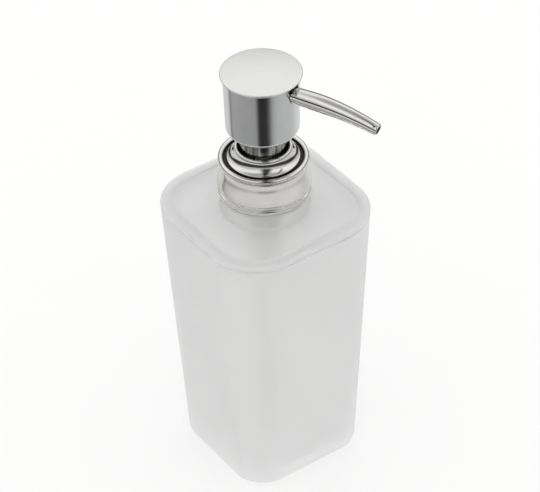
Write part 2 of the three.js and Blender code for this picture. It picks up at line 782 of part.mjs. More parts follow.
function spout() {
  const bendStart = HEAD_R + SPOUT_STRAIGHT;
  const steps = [SPOUT_ROOT, HEAD_R, HEAD_R + 4.5];
  for (let k = 0; k <= 8; k += 1) {
    steps.push(THREE.MathUtils.lerp(bendStart, SPOUT_REACH - 0.5, k / 8));
  }
  const outer = steps.map((reach) => spoutRing(reach, spoutRadius(reach), COARSE));
  const lip = spoutRing(SPOUT_REACH, SPOUT_TIP_R - 0.3, COARSE);
  const bore = steps.reverse().map((reach) => spoutRing(reach, spoutRadius(reach) - SPOUT_WALL, COARSE));
  const mouth = spoutRing(SPOUT_REACH, SPOUT_TIP_R - SPOUT_WALL, COARSE);
  return skin([...outer, lip, mouth, ...bore]);
}

// The spout's centre line between two distances from the axis.
class SpoutCurve extends THREE.Curve {
  constructor(from, to) {
    super();
    this.from = from;
    this.to = to;
  }

  getPoint(t, target = new THREE.Vector3()) {
    return target.copy(spoutFrame(THREE.MathUtils.lerp(this.from, this.to, t)).point);
  }
}

function spoutLiner() {
  const path = new SpoutCurve(STEM_BORE_R + 0.8, SPOUT_REACH - NOZZLE_LENGTH - 0.5);
  return swept(path, LINER_R, LINER_BORE_R, 14, 12);
}

function nozzleTip() {
  const front = SPOUT_REACH - 0.35;
  const back = front - NOZZLE_LENGTH;
  const outer = SPOUT_TIP_R - SPOUT_WALL - REST_GAP;
  return skin([
    spoutRing(back, outer, COARSE),
    spoutRing(front, outer, COARSE),
    spoutRing(front, outer - 0.25, COARSE),
    spoutRing(front - 0.9, LINER_BORE_R, COARSE),
    spoutRing(back, LINER_BORE_R, COARSE),
  ]);
}

// Cutter for the spout's way through a wall: a round notch open to the top.
function spoutNotch(from, to, gap) {
  const radius = SPOUT_ROOT_R + gap;
  const start = spoutFrame(from).point;
  const end = spoutFrame(to).point;
  return [
    rod(start, end, radius, COARSE),
    block([from, -radius, SPOUT_Z], [to, radius, CAP_TOP], HEADING),
  ];
}

// Moulded core: a socket for the stem, a web, an outer wall and the passage to the spout.
function headCore() {
  const webUnder = HEAD_BOTTOM + SHEET * 2 + TURN_GAP * 2;
  const socketR = STEM_R + REST_GAP;
  const coreTop = SHELL_TOP - 0.5;
  const tube = turned(
    [
      [socketR, SLEEVE_BOTTOM + 1.2],
      [SLEEVE_R - SHEET - TURN_GAP, SLEEVE_BOTTOM + 1.2],
      [SLEEVE_R - SHEET - TURN_GAP, webUnder],
      [CORE_R - 0.6, webUnder],
      [CORE_R, webUnder + 1.2],
      [CORE_R, coreTop],
      [CORE_R - 1.2, coreTop],
      [CORE_R - 1.2, webUnder + 2],
      [socketR + 2, webUnder + 2],
      [socketR + 2, coreTop],
      [STEM_BORE_R, coreTop],
      [STEM_BORE_R, STEM_TOP + REST_GAP],
      [socketR, STEM_TOP + REST_GAP],
    ],
    MEDIUM
  );
  const roof = turned(
    [
      [0, coreTop - 1.4],
      [socketR + 1, coreTop - 1.4],
      [socketR + 1, coreTop],
      [0, coreTop],
    ],
    MEDIUM
  );
  const bridge = rod(spoutFrame(socketR).point, spoutFrame(SPOUT_ROOT - RUN_GAP).point, LINER_R + 1, 12);
  const passage = rod(spoutFrame(0).point, spoutFrame(CORE_R + 1).point, LINER_R + REST_GAP, 12);
  return combine([tube, roof, bridge], [passage, ...spoutNotch(SPOUT_ROOT - RUN_GAP, HEAD_R + 1, TURN_GAP)]);
}

function headSleeve() {
  const bore = SLEEVE_R - SHEET;
  const top = HEAD_BOTTOM + SHEET * 2 + TURN_GAP;
  return turned(
    [
      [SLEEVE_R - 0.35, SLEEVE_BOTTOM],
      [SLEEVE_R, SLEEVE_BOTTOM + 0.35],
      [SLEEVE_R, HEAD_BOTTOM + SHEET + TURN_GAP / 2],
      [SLEEVE_R + 1.4, HEAD_BOTTOM + SHEET + TURN_GAP / 2],
      [SLEEVE_R + 1.4, top],
      [bore, top],
      [bore, SLEEVE_BOTTOM],
    ],
    MEDIUM
  );
}

function headShell() {
  const bore = HEAD_BASE_R - SHEET;
  const hole = SLEEVE_R + TURN_GAP;
  const shell = turned(
    [
      [hole, HEAD_BOTTOM],
      ...arc(HEAD_BASE_R - HEAD_ROUND, HEAD_BOTTOM + HEAD_ROUND, HEAD_ROUND, 270, 360, 4),
      [HEAD_R, SHELL_TOP],
      [HEAD_R - SHEET, SHELL_TOP],
      ...arc(bore - HEAD_ROUND + SHEET, HEAD_BOTTOM + HEAD_ROUND, HEAD_ROUND - SHEET, 360, 270, 3),
      [hole, HEAD_BOTTOM + SHEET],
    ],
    FINE
  );
  return combine([shell], spoutNotch(SPOUT_ROOT, HEAD_R + 2, FIT_GAP));
}

function headCap() {
  const rimZ = CAP_UNDER + CAP_EDGE;
  const plugR = CORE_R - 1.2 - TURN_GAP;
  const disc = turned(
    [
      [0, CAP_UNDER],
      [plugR - 1, CAP_UNDER],
      [plugR - 1, CAP_UNDER - 2.4],
      [plugR, CAP_UNDER - 2.4],
      [plugR, CAP_UNDER],
      [HEAD_R, CAP_UNDER],
      [CAP_R - 0.25, rimZ - 0.4],
      [CAP_R, rimZ],
      [CAP_R - 0.2, rimZ + 0.3],
      [CAP_R - 0.7, CAP_TOP - CAP_DOME + 0.05],
      [CAP_R * 0.62, CAP_TOP - CAP_DOME * 0.35],
      [0, CAP_TOP],
    ],
    FINE
  );
  const gap = SPOUT_ROOT_R + 1;
  return combine([disc], [block([2, -gap, CAP_UNDER - 4], [HEAD_R + 2, gap, CAP_UNDER], HEADING)]);
}

// ---------------------------------------------------------------- assembly

const FINISHES = {
  frosted: { color: '#d6d9db', roughness: 0.6, metalness: 0 },
  chrome: { color: '#c9ccd0', roughness: 0.08, metalness: 1 },
  satin: { color: '#dcdcd8', roughness: 0.35, metalness: 1 },
  black: { color: '#141416', roughness: 0.5, metalness: 0 },
  natural: { color: '#e9e9e4', roughness: 0.5, metalness: 0 },
  steel: { color: '#a9adb1', roughness: 0.25, metalness: 1 },
  elastomer: { color: '#c9c6bd', roughness: 0.8, metalness: 0 },
};

const PIECES = {
  bottle: [
    ['bottle_body', bottleBody, FINISHES.frosted],
    ['bottle_top', bottleTop, FINISHES.frosted],
  ],
  pump: [
    ['neck_gasket', neckGasket, FINISHES.elastomer],
    ['pump_housing', pumpHousing, FINISHES.natural],
    ['chaplet', chaplet, FINISHES.black],
    ['chaplet_ring', chapletRing, FINISHES.chrome],
    ['spring_seat', springSeat, FINISHES.natural],
    ['dip_tube', dipTube, FINISHES.natural],
    ['inlet_ball', inletBall, FINISHES.steel],
    ['main_spring', mainSpring, FINISHES.steel],
    ['poppet', poppet, FINISHES.natural],
    ['piston', piston, FINISHES.natural],
  ],
  collar: [
    ['closure', closure, FINISHES.black],
    ['collar_shell', collarShell, FINISHES.chrome],
  ],
  head: [
    ['stem', stem, FINISHES.natural],
    ['head_core', headCore, FINISHES.black],
    ['head_sleeve', headSleeve, FINISHES.chrome],
    ['head_shell', headShell, FINISHES.satin],
    ['head_cap', headCap, FINISHES.satin],
    ['spout', spout, FINISHES.chrome],
    ['spout_liner', spoutLiner, FINISHES.natural],
    ['nozzle_tip', nozzleTip, FINISHES.black],
  ],
};

function buildPiece([name, make, finish]) {
  const geometry = make();
  geometry.computeVertexNormals();
  const mesh = new THREE.Mesh(geometry, new THREE.MeshStandardMaterial({ ...finish }));
  mesh.name = name;
  return mesh;
}

function buildDispenser() {
  const dispenser = new THREE.Group();
  dispenser.name = 'soap_pump_dispenser';
  for (const [name, pieces] of Object.entries(PIECES)) {
    const group = new THREE.Group();
    group.name = name;
    group.add(...pieces.map(buildPiece));
    dispenser.add(group);
  }
  return dispenser;
}

export default buildDispenser();
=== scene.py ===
"""Soap pump dispenser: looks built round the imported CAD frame.

A frosted square bottle with a lid and a neck carries a screw-on lotion pump: a polished collar, a coved
ring, a head on a polished sleeve with a satin disc, and a slender drooping spout. Sizes are in millimetres
until a mesh is made.
"""

import logging
import math
from abc import ABC, abstractmethod
from dataclasses import dataclass, field
from enum import Enum
from typing import Callable, Iterable, Sequence

import bpy
from mathutils import Matrix, Vector


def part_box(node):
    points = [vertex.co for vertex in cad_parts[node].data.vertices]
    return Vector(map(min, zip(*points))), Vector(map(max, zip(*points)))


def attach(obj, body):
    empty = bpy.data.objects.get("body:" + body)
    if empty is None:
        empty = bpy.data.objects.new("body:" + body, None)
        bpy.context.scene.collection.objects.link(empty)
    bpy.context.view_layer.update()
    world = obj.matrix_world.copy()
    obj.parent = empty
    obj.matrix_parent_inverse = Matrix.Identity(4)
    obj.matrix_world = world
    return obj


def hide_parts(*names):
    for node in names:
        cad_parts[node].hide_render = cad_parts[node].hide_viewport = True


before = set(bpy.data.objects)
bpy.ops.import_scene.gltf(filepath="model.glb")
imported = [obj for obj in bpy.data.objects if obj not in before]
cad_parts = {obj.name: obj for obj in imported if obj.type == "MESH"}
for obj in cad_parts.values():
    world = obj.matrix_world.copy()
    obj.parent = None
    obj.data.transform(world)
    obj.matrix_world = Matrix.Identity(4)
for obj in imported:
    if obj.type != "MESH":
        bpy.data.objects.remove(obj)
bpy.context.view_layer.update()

LOG = logging.getLogger("soap_pump_dispenser")

MM = 0.001
ROUND_COUNT = 128
CORNER_COUNT = 24
NO_RADIUS = 1e-6

# Edges sharper than this, in degrees, stay sharp: on plain pieces, on cut ones and on finely rounded ones.
CREASE = 35.0
CUT_CREASE = 32.0
SOFT_CREASE = 50.0
BEAD_CREASE = 60.0
DISC_CREASE = 40.0

# Rings between a disc's edge and its middle.
DOME_STEPS = 14

# Middle range of a noise pattern, which nearly all of it falls in, and how fast its finer layers fade.
PATTERN_SPAN = (0.3, 0.7)
LAYER_FALLOFF = 0.55

Profile = list[tuple[float, float]]
Ring = list[Vector]
Offsets = tuple[tuple[float, float], ...]
Colour = tuple[float, float, float, float]
Socket = bpy.types.NodeSocket


class Body(Enum):
    """Rigid bodies of the frame that a piece can ride on."""

    BOTTLE = "bottle"
    PUMP = "pump"
    COLLAR = "collar"
    HEAD = "head"


class Slot(Enum):
    """Material slots of the record."""

    FROSTED = "frosted"
    CHROME = "chrome"
    SATIN = "satin"
    BLACK = "black"
    NATURAL = "natural"
    STEEL = "steel"
    ELASTOMER = "elastomer"


# ---------------------------------------------------------------- materials


def linear(hex_colour: str) -> Colour:
    """Turn an sRGB hex colour into linear light.

    Args:
        hex_colour: Six hex digits after a hash sign.

    Returns:
        Linear red, green, blue and an alpha of one.
    """
    channels = [int(hex_colour[i : i + 2], 16) / 255 for i in (1, 3, 5)]
    light = [c / 12.92 if c <= 0.04045 else ((c + 0.055) / 1.055) ** 2.4 for c in channels]
    return (light[0], light[1], light[2], 1.0)


def per_mm(size_mm: float) -> float:
    """Texture scale that gives a pattern one repeat in the stated size, in object coordinates."""
    return 1.0 / (size_mm * MM)


def add_node(
    tree: bpy.types.NodeTree, kind: str, settings: dict | None = None, links: dict | None = None
) -> bpy.types.Node:
    """Add a node, set its properties and inputs, and link its inputs.

    Args:
        tree: Node tree that takes the node.
        kind: Blender's node class name.
        settings: Name of a property, or name or number of an input, to its value. A property comes first.
        links: Name or number of an input to the output that feeds it.

    Returns:
        The new node.
    """
    made = tree.nodes.new(kind)
    for name, value in (settings or {}).items():
        if isinstance(name, str) and hasattr(made, name):
            setattr(made, name, value)
        else:
            made.inputs[name].default_value = value
    for name, output in (links or {}).items():
        tree.links.new(made.inputs[name], output)
    return made


@dataclass(frozen=True)
class Finish(ABC):
    """What a surface is made of and how it was finished.

    Attributes:
        name: Name of the material.
        slot: Record slot that it stands for; not used.
        light: Colour of the lightest patches, in sRGB.
        dark: Colour of the darkest patches, in sRGB.
        roughness: Middle of the roughness.
        roughness_swing: How far the roughness drifts either way.
        patch_mm: Size of the broad patches that tint the surface.
        patch_detail: How many finer layers the patches have.
        grain_mm: Size of the fine grain.
        grain_detail: How many finer layers the grain has.
        relief_mm: Depth of the grain.
        relief_strength: How much the grain tilts the light; none at zero.
        rough_by_grain: The roughness follows the grain and not the patches.
    """

    name: str
    slot: Slot
    light: str = "#ffffff"
    dark: str = "#ffffff"
    roughness: float = 0.5
    roughness_swing: float = 0.03
    patch_mm: float = 10.0
    patch_detail: float = 2.0
    grain_mm: float = 0.5
    grain_detail: float = 3.0
    relief_mm: float = 0.01
    relief_strength: float = 0.0
    rough_by_grain: bool = False

    def build(self) -> bpy.types.Material:
        """Make the material, or give back the one made before.

        Returns:
            The material.
        """
        known = bpy.data.materials.get(self.name)
        if known:
            return known
        material = bpy.data.materials.new(self.name)
        material.use_nodes = True
        tree = material.node_tree
        tree.nodes.clear()
        coordinates = add_node(tree, "ShaderNodeTexCoord").outputs["Object"]
        shader = self.shade(tree, coordinates)
        add_node(tree, "ShaderNodeOutputMaterial", links={"Surface": shader})
        return material

    def surface(self, tree: bpy.types.NodeTree, coordinates: Socket) -> dict[str, Socket]:
        """Build the patches and the grain, with the tint, roughness and relief that follow them.

        Args:
            tree: Node tree of the material.
            coordinates: Object coordinates.

        Returns:
            Input of a shader to the output that feeds it.
        """
        patches, grain = (
            add_node(
                tree,
                "ShaderNodeTexNoise",
                {"Scale": per_mm(size), "Detail": detail, "Roughness": LAYER_FALLOFF},
                {"Vector": coordinates},
            ).outputs["Fac"]
            for size, detail in ((self.patch_mm, self.patch_detail), (self.grain_mm, self.grain_detail))
        )
        ramp = add_node(tree, "ShaderNodeValToRGB", links={"Fac": patches})
        for element, place, tint in zip(ramp.color_ramp.elements, PATTERN_SPAN, (self.dark, self.light)):
            element.position = place
            element.color = linear(tint)
        drift = {
            "From Min": PATTERN_SPAN[0],
            "From Max": PATTERN_SPAN[1],
            "To Min": self.roughness - self.roughness_swing,
            "To Max": self.roughness + self.roughness_swing,
        }
        rough_by = grain if self.rough_by_grain else patches
        roughness = add_node(tree, "ShaderNodeMapRange", drift, {"Value": rough_by}).outputs["Result"]
        links = {"Base Color": ramp.outputs["Color"], "Roughness": roughness}
        if self.relief_strength > 0:
            depth = {"Strength": self.relief_strength, "Distance": self.relief_mm * MM}
            links["Normal"] = add_node(tree, "ShaderNodeBump", depth, {"Height": grain}).outputs["Normal"]
        return links

    @abstractmethod
    def shade(self, tree: bpy.types.NodeTree, coordinates: Socket) -> Socket:
        """Build the shader.

        Args:
            tree: Node tree of the material.
            coordinates: Object coordinates.

        Returns:
            The shader's output.
        """


@dataclass(frozen=True)
class FrostedPlastic(Finish):
    """Clear acrylic-like plastic, acid-frosted.

    Light passes but is scattered, so what is inside shows as a soft shadow. The etched grain is about 0.1
    mm and too fine to show, so it is drawn 0.5 mm wide. Broad cloudy patches of slightly different frosting
    keep the flat sides from looking printed.

    Attributes:
        ior: Refractive index of the plastic.
        specular: Weight of its clear reflection, lowered by the etching.
        scatter_share: Share of the light that the frosting scatters.
        chalk_share: Share of the scattered light that comes back to the side it came from.
    """

    dark: str = "#fcfcfc"
    roughness: float = 0.34
    patch_mm: float = 22.0
    relief_strength: float = 0.12
    ior: float = 1.49
    specular: float = 0.4
    scatter_share: float = 0.42
    chalk_share: float = 0.6

    def shade(self, tree: bpy.types.NodeTree, coordinates: Socket) -> Socket:
        """Rough refraction mixed with a milky share that scatters light.

        Args:
            tree: Node tree of the material.
            coordinates: Object coordinates.

        Returns:
            The shader's output.
        """
        surface = self.surface(tree, coordinates)
        settings = {"IOR": self.ior, "Transmission Weight": 1.0, "Specular IOR Level": self.specular}
        body = add_node(tree, "ShaderNodeBsdfPrincipled", settings, surface).outputs["BSDF"]
        veil = {"Color": surface["Base Color"], "Normal": surface["Normal"]}
        milk = add_node(tree, "ShaderNodeBsdfTranslucent", links=veil).outputs["BSDF"]
        chalk = add_node(tree, "ShaderNodeBsdfDiffuse", links=veil).outputs["BSDF"]
        scatter = add_node(tree, "ShaderNodeMixShader", {"Fac": self.chalk_share}, {1: milk, 2: chalk})
        both = {1: body, 2: scatter.outputs["Shader"]}
        return add_node(tree, "ShaderNodeMixShader", {"Fac": self.scatter_share}, both).outputs["Shader"]


@dataclass(frozen=True)
class PlatedMetal(Finish):
    """Chromium plate over a formed part.

    Polished plate mirrors the room, and its roughness drifts very slightly where the wheel has passed. The
    satin grade is the same plate over a fine blasted grain, which draws highlights out into soft bands.
    """

    light: str = "#e7e6e4"
    dark: str = "#dddcd9"
    roughness: float = 0.07
    roughness_swing: float = 0.02
    patch_mm: float = 9.0
    grain_mm: float = 0.35
    grain_detail: float = 2.0

    def shade(self, tree: bpy.types.NodeTree, coordinates: Socket) -> Socket:
        """Metallic shader whose tint and roughness drift.

        Args:
            tree: Node tree of the material.
            coordinates: Object coordinates.

        Returns:
            The shader's output.
        """
        links = self.surface(tree, coordinates)
        return add_node(tree, "ShaderNodeBsdfPrincipled", {"Metallic": 1.0}, links).outputs["BSDF"]


@dataclass(frozen=True)
class DrawnTubeWithPaintedReflections(PlatedMetal):
    """Chromium plate over a drawn tube.

    The die leaves fine lines along the tube's length. They are about 0.1 mm wide and are drawn 0.7 mm wide
    here, so a dark and a bright one take 1.4 mm. They break the tube up into dark and bright upright
    streaks, and the dark ones are the rougher. The lines and their roughness are real, but their dark and
    bright colours are painted reflection: streaks of mirrored room painted into the plate's colour.

    Attributes:
        line_mm: Width of a line, and of its painted reflection streak.
        line_length_mm: Length of a line.
    """

    light: str = "#e4e4e3"
    # Painted reflection: this dark streak colour stands in for dark reflections in the plate, not a darker
    # metal.
    dark: str = "#3a3a3c"
    roughness: float = 0.14
    roughness_swing: float = -0.04
    patch_mm: float = 1.4
    patch_detail: float = 3.0
    grain_mm: float = 1.4
    grain_detail: float = 3.0
    relief_mm: float = 0.02
    relief_strength: float = 0.3
    line_mm: float = 0.7
    line_length_mm: float = 40.0

    def shade(self, tree: bpy.types.NodeTree, coordinates: Socket) -> Socket:
        """Metallic shader with lines stretched along the tube, coloured as painted dark and bright reflection
        streaks.

        Args:
            tree: Node tree of the material.
            coordinates: Object coordinates.

        Returns:
            The shader's output.
        """
        squeeze = {"Scale": (1.0, 1.0, self.line_mm / self.line_length_mm)}
        stretched = add_node(tree, "ShaderNodeMapping", squeeze, {"Vector": coordinates}).outputs["Vector"]
        return super().shade(tree, stretched)


@dataclass(frozen=True)
class MouldedPlastic(Finish):
    """Injection-moulded polyolefin or elastomer: a slightly waxy surface with the fine texture of its tool.

    Attributes:
        ior: Refractive index of the plastic.
        see_through: Share of the light that passes.
    """

    light: str = "#1b1b1d"
    dark: str = "#121214"
    roughness: float = 0.45
    roughness_swing: float = 0.05
    patch_mm: float = 12.0
    grain_mm: float = 0.4
    relief_mm: float = 0.02
    relief_strength: float = 0.3
    rough_by_grain: bool = True
    ior: float = 1.5
    see_through: float = 0.0

    def shade(self, tree: bpy.types.NodeTree, coordinates: Socket) -> Socket:
        """Dielectric shader with a fine tool texture.

        Args:
            tree: Node tree of the material.
            coordinates: Object coordinates.

        Returns:
            The shader's output.
        """
        settings = {"IOR": self.ior, "Transmission Weight": self.see_through}
        links = self.surface(tree, coordinates)
        return add_node(tree, "ShaderNodeBsdfPrincipled", settings, links).outputs["BSDF"]


FROSTED = FrostedPlastic("frosted_plastic", Slot.FROSTED)
POLISHED = PlatedMetal("polished_chrome_plate", Slot.CHROME)
SOFT_POLISHED = PlatedMetal(
    "buffed_chrome_plate", Slot.SATIN, light="#e5e5e6", dark="#dedfe0", roughness=0.16
)
# Sleeve finish with painted reflection: dark and bright upright streaks painted into the plate's colour.
DRAWN_PAINTED_REFLECTIONS = DrawnTubeWithPaintedReflections("drawn_chrome_tube_painted_reflections", Slot.CHROME)
SATIN = PlatedMetal(
    "satin_chrome_plate",
    Slot.SATIN,
    light="#efefec",
    dark="#eaeae6",
    roughness=0.34,
    roughness_swing=0.03,
    relief_strength=0.35,
)
BLACK = MouldedPlastic(
    "moulded_black_polypropylene", Slot.BLACK, light="#0b0b0c", dark="#070708", roughness=0.55
)
NATURAL = MouldedPlastic(
    "natural_polypropylene", Slot.NATURAL, light="#bfbda9", dark="#b3b19d", roughness=0.4, see_through=0.15
)
STEEL = PlatedMetal(
    "stainless_wire", Slot.STEEL, light="#b9bcbe", dark="#a9acae", roughness=0.25, roughness_swing=0.04
)
ELASTOMER = MouldedPlastic(
    "soft_thermoplastic_elastomer", Slot.ELASTOMER, light="#cdc9bd", dark="#c2beb2", roughness=0.7
)

CARRIED_NODES: dict[str, Finish] = {
    "neck_gasket": ELASTOMER,
    "pump_housing": NATURAL,
    "spring_seat": NATURAL,
    "dip_tube": NATURAL,
    "inlet_ball": STEEL,
    "main_spring": STEEL,
    "poppet": NATURAL,
    "piston": NATURAL,
    "stem": NATURAL,
    "head_core": BLACK,
    "spout_liner": NATURAL,
}


# ---------------------------------------------------------------- shapes


@dataclass(frozen=True)
class Extent:
    """Place and size of a CAD node, in millimetres.

    Attributes:
        low: Lowest corner.
        high: Highest corner.
    """

    low: Vector
    high: Vector

    @classmethod
    def of(cls, node: str) -> "Extent":
        """Read a node's box from the frame."""
        low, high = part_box(node)
        return cls(Vector(low) / MM, Vector(high) / MM)

    @property
    def bottom(self) -> float:
        """Lowest height."""
        return self.low.z

    @property
    def top(self) -> float:
        """Highest height."""
        return self.high.z

    @property
    def radius(self) -> float:
        """Half the width along X, which is a turned piece's outer radius."""
        return (self.high.x - self.low.x) / 2


def arc(centre: tuple[float, float], radius: float, start: float, end: float, steps: int = 8) -> Profile:
    """Round stretch of a profile.

    Args:
        centre: Radius and height of the arc's centre.
        radius: Radius of the arc.
        start: Angle of the first point in degrees; 0 points away from the axis and 90 up.
        end: Angle of the last point in degrees.
        steps: Number of stretches.

    Returns:
        Points from start to end.
    """
    points = []
    for step in range(steps + 1):
        angle = math.radians(start + (end - start) * step / steps)
        points.append((centre[0] + radius * math.cos(angle), centre[1] + radius * math.sin(angle)))
    return points


def faired(points: Profile, steps: int = 5) -> Profile:
    """Smooth curve through the points of a profile.

    Args:
        points: Points that the curve passes, in order.
        steps: Number of stretches between two points.

    Returns:
        The denser profile, first and last points included.
    """
    padded = [points[0], *points, points[-1]]
    curve: Profile = []
    for before, first, second, after in zip(padded, padded[1:], padded[2:], padded[3:]):
        for step in range(steps):
            t = step / steps
            weights = (
                -0.5 * t + t**2 - 0.5 * t**3,
                1 - 2.5 * t**2 + 1.5 * t**3,
                0.5 * t + 2 * t**2 - 1.5 * t**3,
                -0.5 * t**2 + 0.5 * t**3,
            )
            curve.append(
                tuple(sum(w * p[axis] for w, p in zip(weights, (before, first, second, after))) for axis in
                (0, 1))
            )
    return [*curve, points[-1]]


def circle(radius: float, z: float, count: int = ROUND_COUNT) -> Ring:
    """Level ring of points about the Z axis.

    Args:
        radius: Radius of the ring; zero gives the one point on the axis.
        z: Height of the ring.
        count: Number of points.

    Returns:
        The ring.
    """
    if radius < NO_RADIUS:
        return [Vector((0, 0, z))]
    angles = [2 * math.pi * (k + 0.5) / count for k in range(count)]
    return [Vector((radius * math.cos(a), radius * math.sin(a), z)) for a in angles]


def skin(rings: Sequence[Ring]) -> tuple[list[Vector], list[list[int]]]:
    """Closed surface through rings of points.

    Args:
        rings: Rings in order, outer side upwards. A single point closes an end; without one, the last ring
            meets the first.

    Returns:
        Points and faces.
    """
    points = [point for ring in rings for point in ring]
    starts = [sum(len(ring) for ring in rings[:i]) for i in range(len(rings))]
    closed = len(rings[0]) > 1
    faces: list[list[int]] = []
    for i in range(len(rings) if closed else len(rings) - 1):
        j = (i + 1) % len(rings)
        count = max(len(rings[i]), len(rings[j]))
        for k in range(count):
            following = (k + 1) % count
            low = [starts[i] + k, starts[i] + following] if len(rings[i]) > 1 else [starts[i]]
            high = [starts[j] + following, starts[j] + k] if len(rings[j]) > 1 else [starts[j]]
            faces.append(low + high)
    return points, faces


def tube_ring(centre: Vector, tangent: Vector, side: Vector, radius: float, count: int) -> Ring:
    """Ring of points round a path, square to its tangent.

    Args:
        centre: Point of the path.
        tangent: Unit vector along the path.
        side: Unit vector across the path.
        radius: Radius of the ring.
        count: Number of points.

    Returns:
        The ring, anticlockwise as seen against the tangent.
    """
    across = tangent.cross(side)
    angles = [2 * math.pi * k / count for k in range(count)]
    return [centre + side * (radius * math.cos(a)) + across * (radius * math.sin(a)) for a in angles]


def add_mesh(name: str, rings: Sequence[Ring], crease_degrees: float = CREASE) -> bpy.types.Object:
    """Make an object from rings in millimetres.

    Args:
        name: Name of the object.
        rings: Rings of points, as skin takes them.
        crease_degrees: Edges sharper than this stay sharp in the shading.

    Returns:
        The object, smooth-shaded, in metres.
    """
    points, faces = skin(rings)
    mesh = bpy.data.meshes.new(name)
    mesh.from_pydata([point * MM for point in points], [], faces)
    mesh.validate()
    made = bpy.data.objects.new(name, mesh)
    bpy.context.scene.collection.objects.link(made)
    shade_smooth(made, crease_degrees)
    return made


def shade_smooth(made: bpy.types.Object, crease_degrees: float) -> None:
    """Shade an object smoothly, but for edges sharper than the given angle."""
    made.data.shade_smooth()
    made.data.set_sharp_from_angle(angle=math.radians(crease_degrees))


def turned(name: str, profile: Profile, crease_degrees: float = CREASE) -> bpy.types.Object:
    """Solid of revolution from a profile of radius and height."""
    return add_mesh(name, [circle(radius, z) for radius, z in profile], crease_degrees)


def cut_away(target: bpy.types.Object, cutters: Iterable[bpy.types.Object]) -> None:
    """Cut closed bodies out of a piece and delete them.

    Args:
        target: The piece that is cut.
        cutters: The bodies that are taken away.
    """
    for cutter in cutters:
        modifier = target.modifiers.new("cut", "BOOLEAN")
        modifier.operation = "DIFFERENCE"
        modifier.solver = "EXACT"
        modifier.object = cutter
        graph = bpy.context.evaluated_depsgraph_get()
        cut_mesh = bpy.data.meshes.new_from_object(target.evaluated_get(graph))
        target.modifiers.clear()
        target.data = cut_mesh
        bpy.data.objects.remove(cutter)
    shade_smooth(target, CUT_CREASE)


# Section of a thread's ridge: millimetres along the axis, and share of the depth, or millimetres sunk in
# the wall.
RIDGE_FLANK = ((-1.0, -0.4), (-1.0, 0.0), (-0.55, 0.9), (-0.3, 1.0))
RIDGE = (*RIDGE_FLANK, *((-along, out) for along, out in reversed(RIDGE_FLANK)))
RIDGE_STEPS = 96
RIDGE_FADE_STEPS = 10
RIDGE_END_SHARE = 0.04


def thread_rings(
    wall_r: float, depth: float, start_z: float, turns: tuple[float, float], pitch: float
) -> list[Ring]:
    """Rings of a screw thread's ridge, round-topped, fading into the wall at both ends.

    Args:
        wall_r: Radius of the wall that carries the ridge.
        depth: Height of the ridge over the wall; negative for an inside thread.
        start_z: Height of the ridge's middle at turn 0.
        turns: First and last turn.
        pitch: Rise of one turn.

    Returns:
        Rings that skin joins into one closed ridge.
    """
    steps = round((turns[1] - turns[0]) * RIDGE_STEPS)
    sign = 1 if depth > 0 else -1
    rings = []
    for i in range(steps + 1):
        turn = turns[0] + (turns[1] - turns[0]) * i / steps
        angle = 2 * math.pi * turn
        fade = min(1.0, RIDGE_END_SHARE + min(i, steps - i) / RIDGE_FADE_STEPS)
        ring = []
        for along, out in RIDGE:
            reach = abs(depth) * fade * out if out > 0 else out
            radius = wall_r + sign * reach
            z = start_z + pitch * turn + along
            ring.append(Vector((radius * math.cos(angle), radius * math.sin(angle), z)))
        rings.append(ring[::-1] if sign > 0 else ring)
    first, last = (sum(ring, Vector()) / len(ring) for ring in (rings[0], rings[-1]))
    return [[first], *rings, [last]]


def finish_piece(
    made: bpy.types.Object, body: Body, finish: Finish, stands_for: Sequence[str] = ()
) -> bpy.types.Object:
    """Dress a piece, tie it to its body and hide the CAD nodes that it stands for.

    Args:
        made: The piece.
        body: Body that it rides on.
        finish: Its material.
        stands_for: CAD nodes that it replaces.

    Returns:
        The same piece.
    """
    made.data.materials.clear()
    made.data.materials.append(finish.build())
    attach(made, body.value)
    if stands_for:
        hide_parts(*stands_for)
    LOG.info("piece %s rides on %s in %s", made.name, body.value, finish.name)
    return made


# ---------------------------------------------------------------- bottle


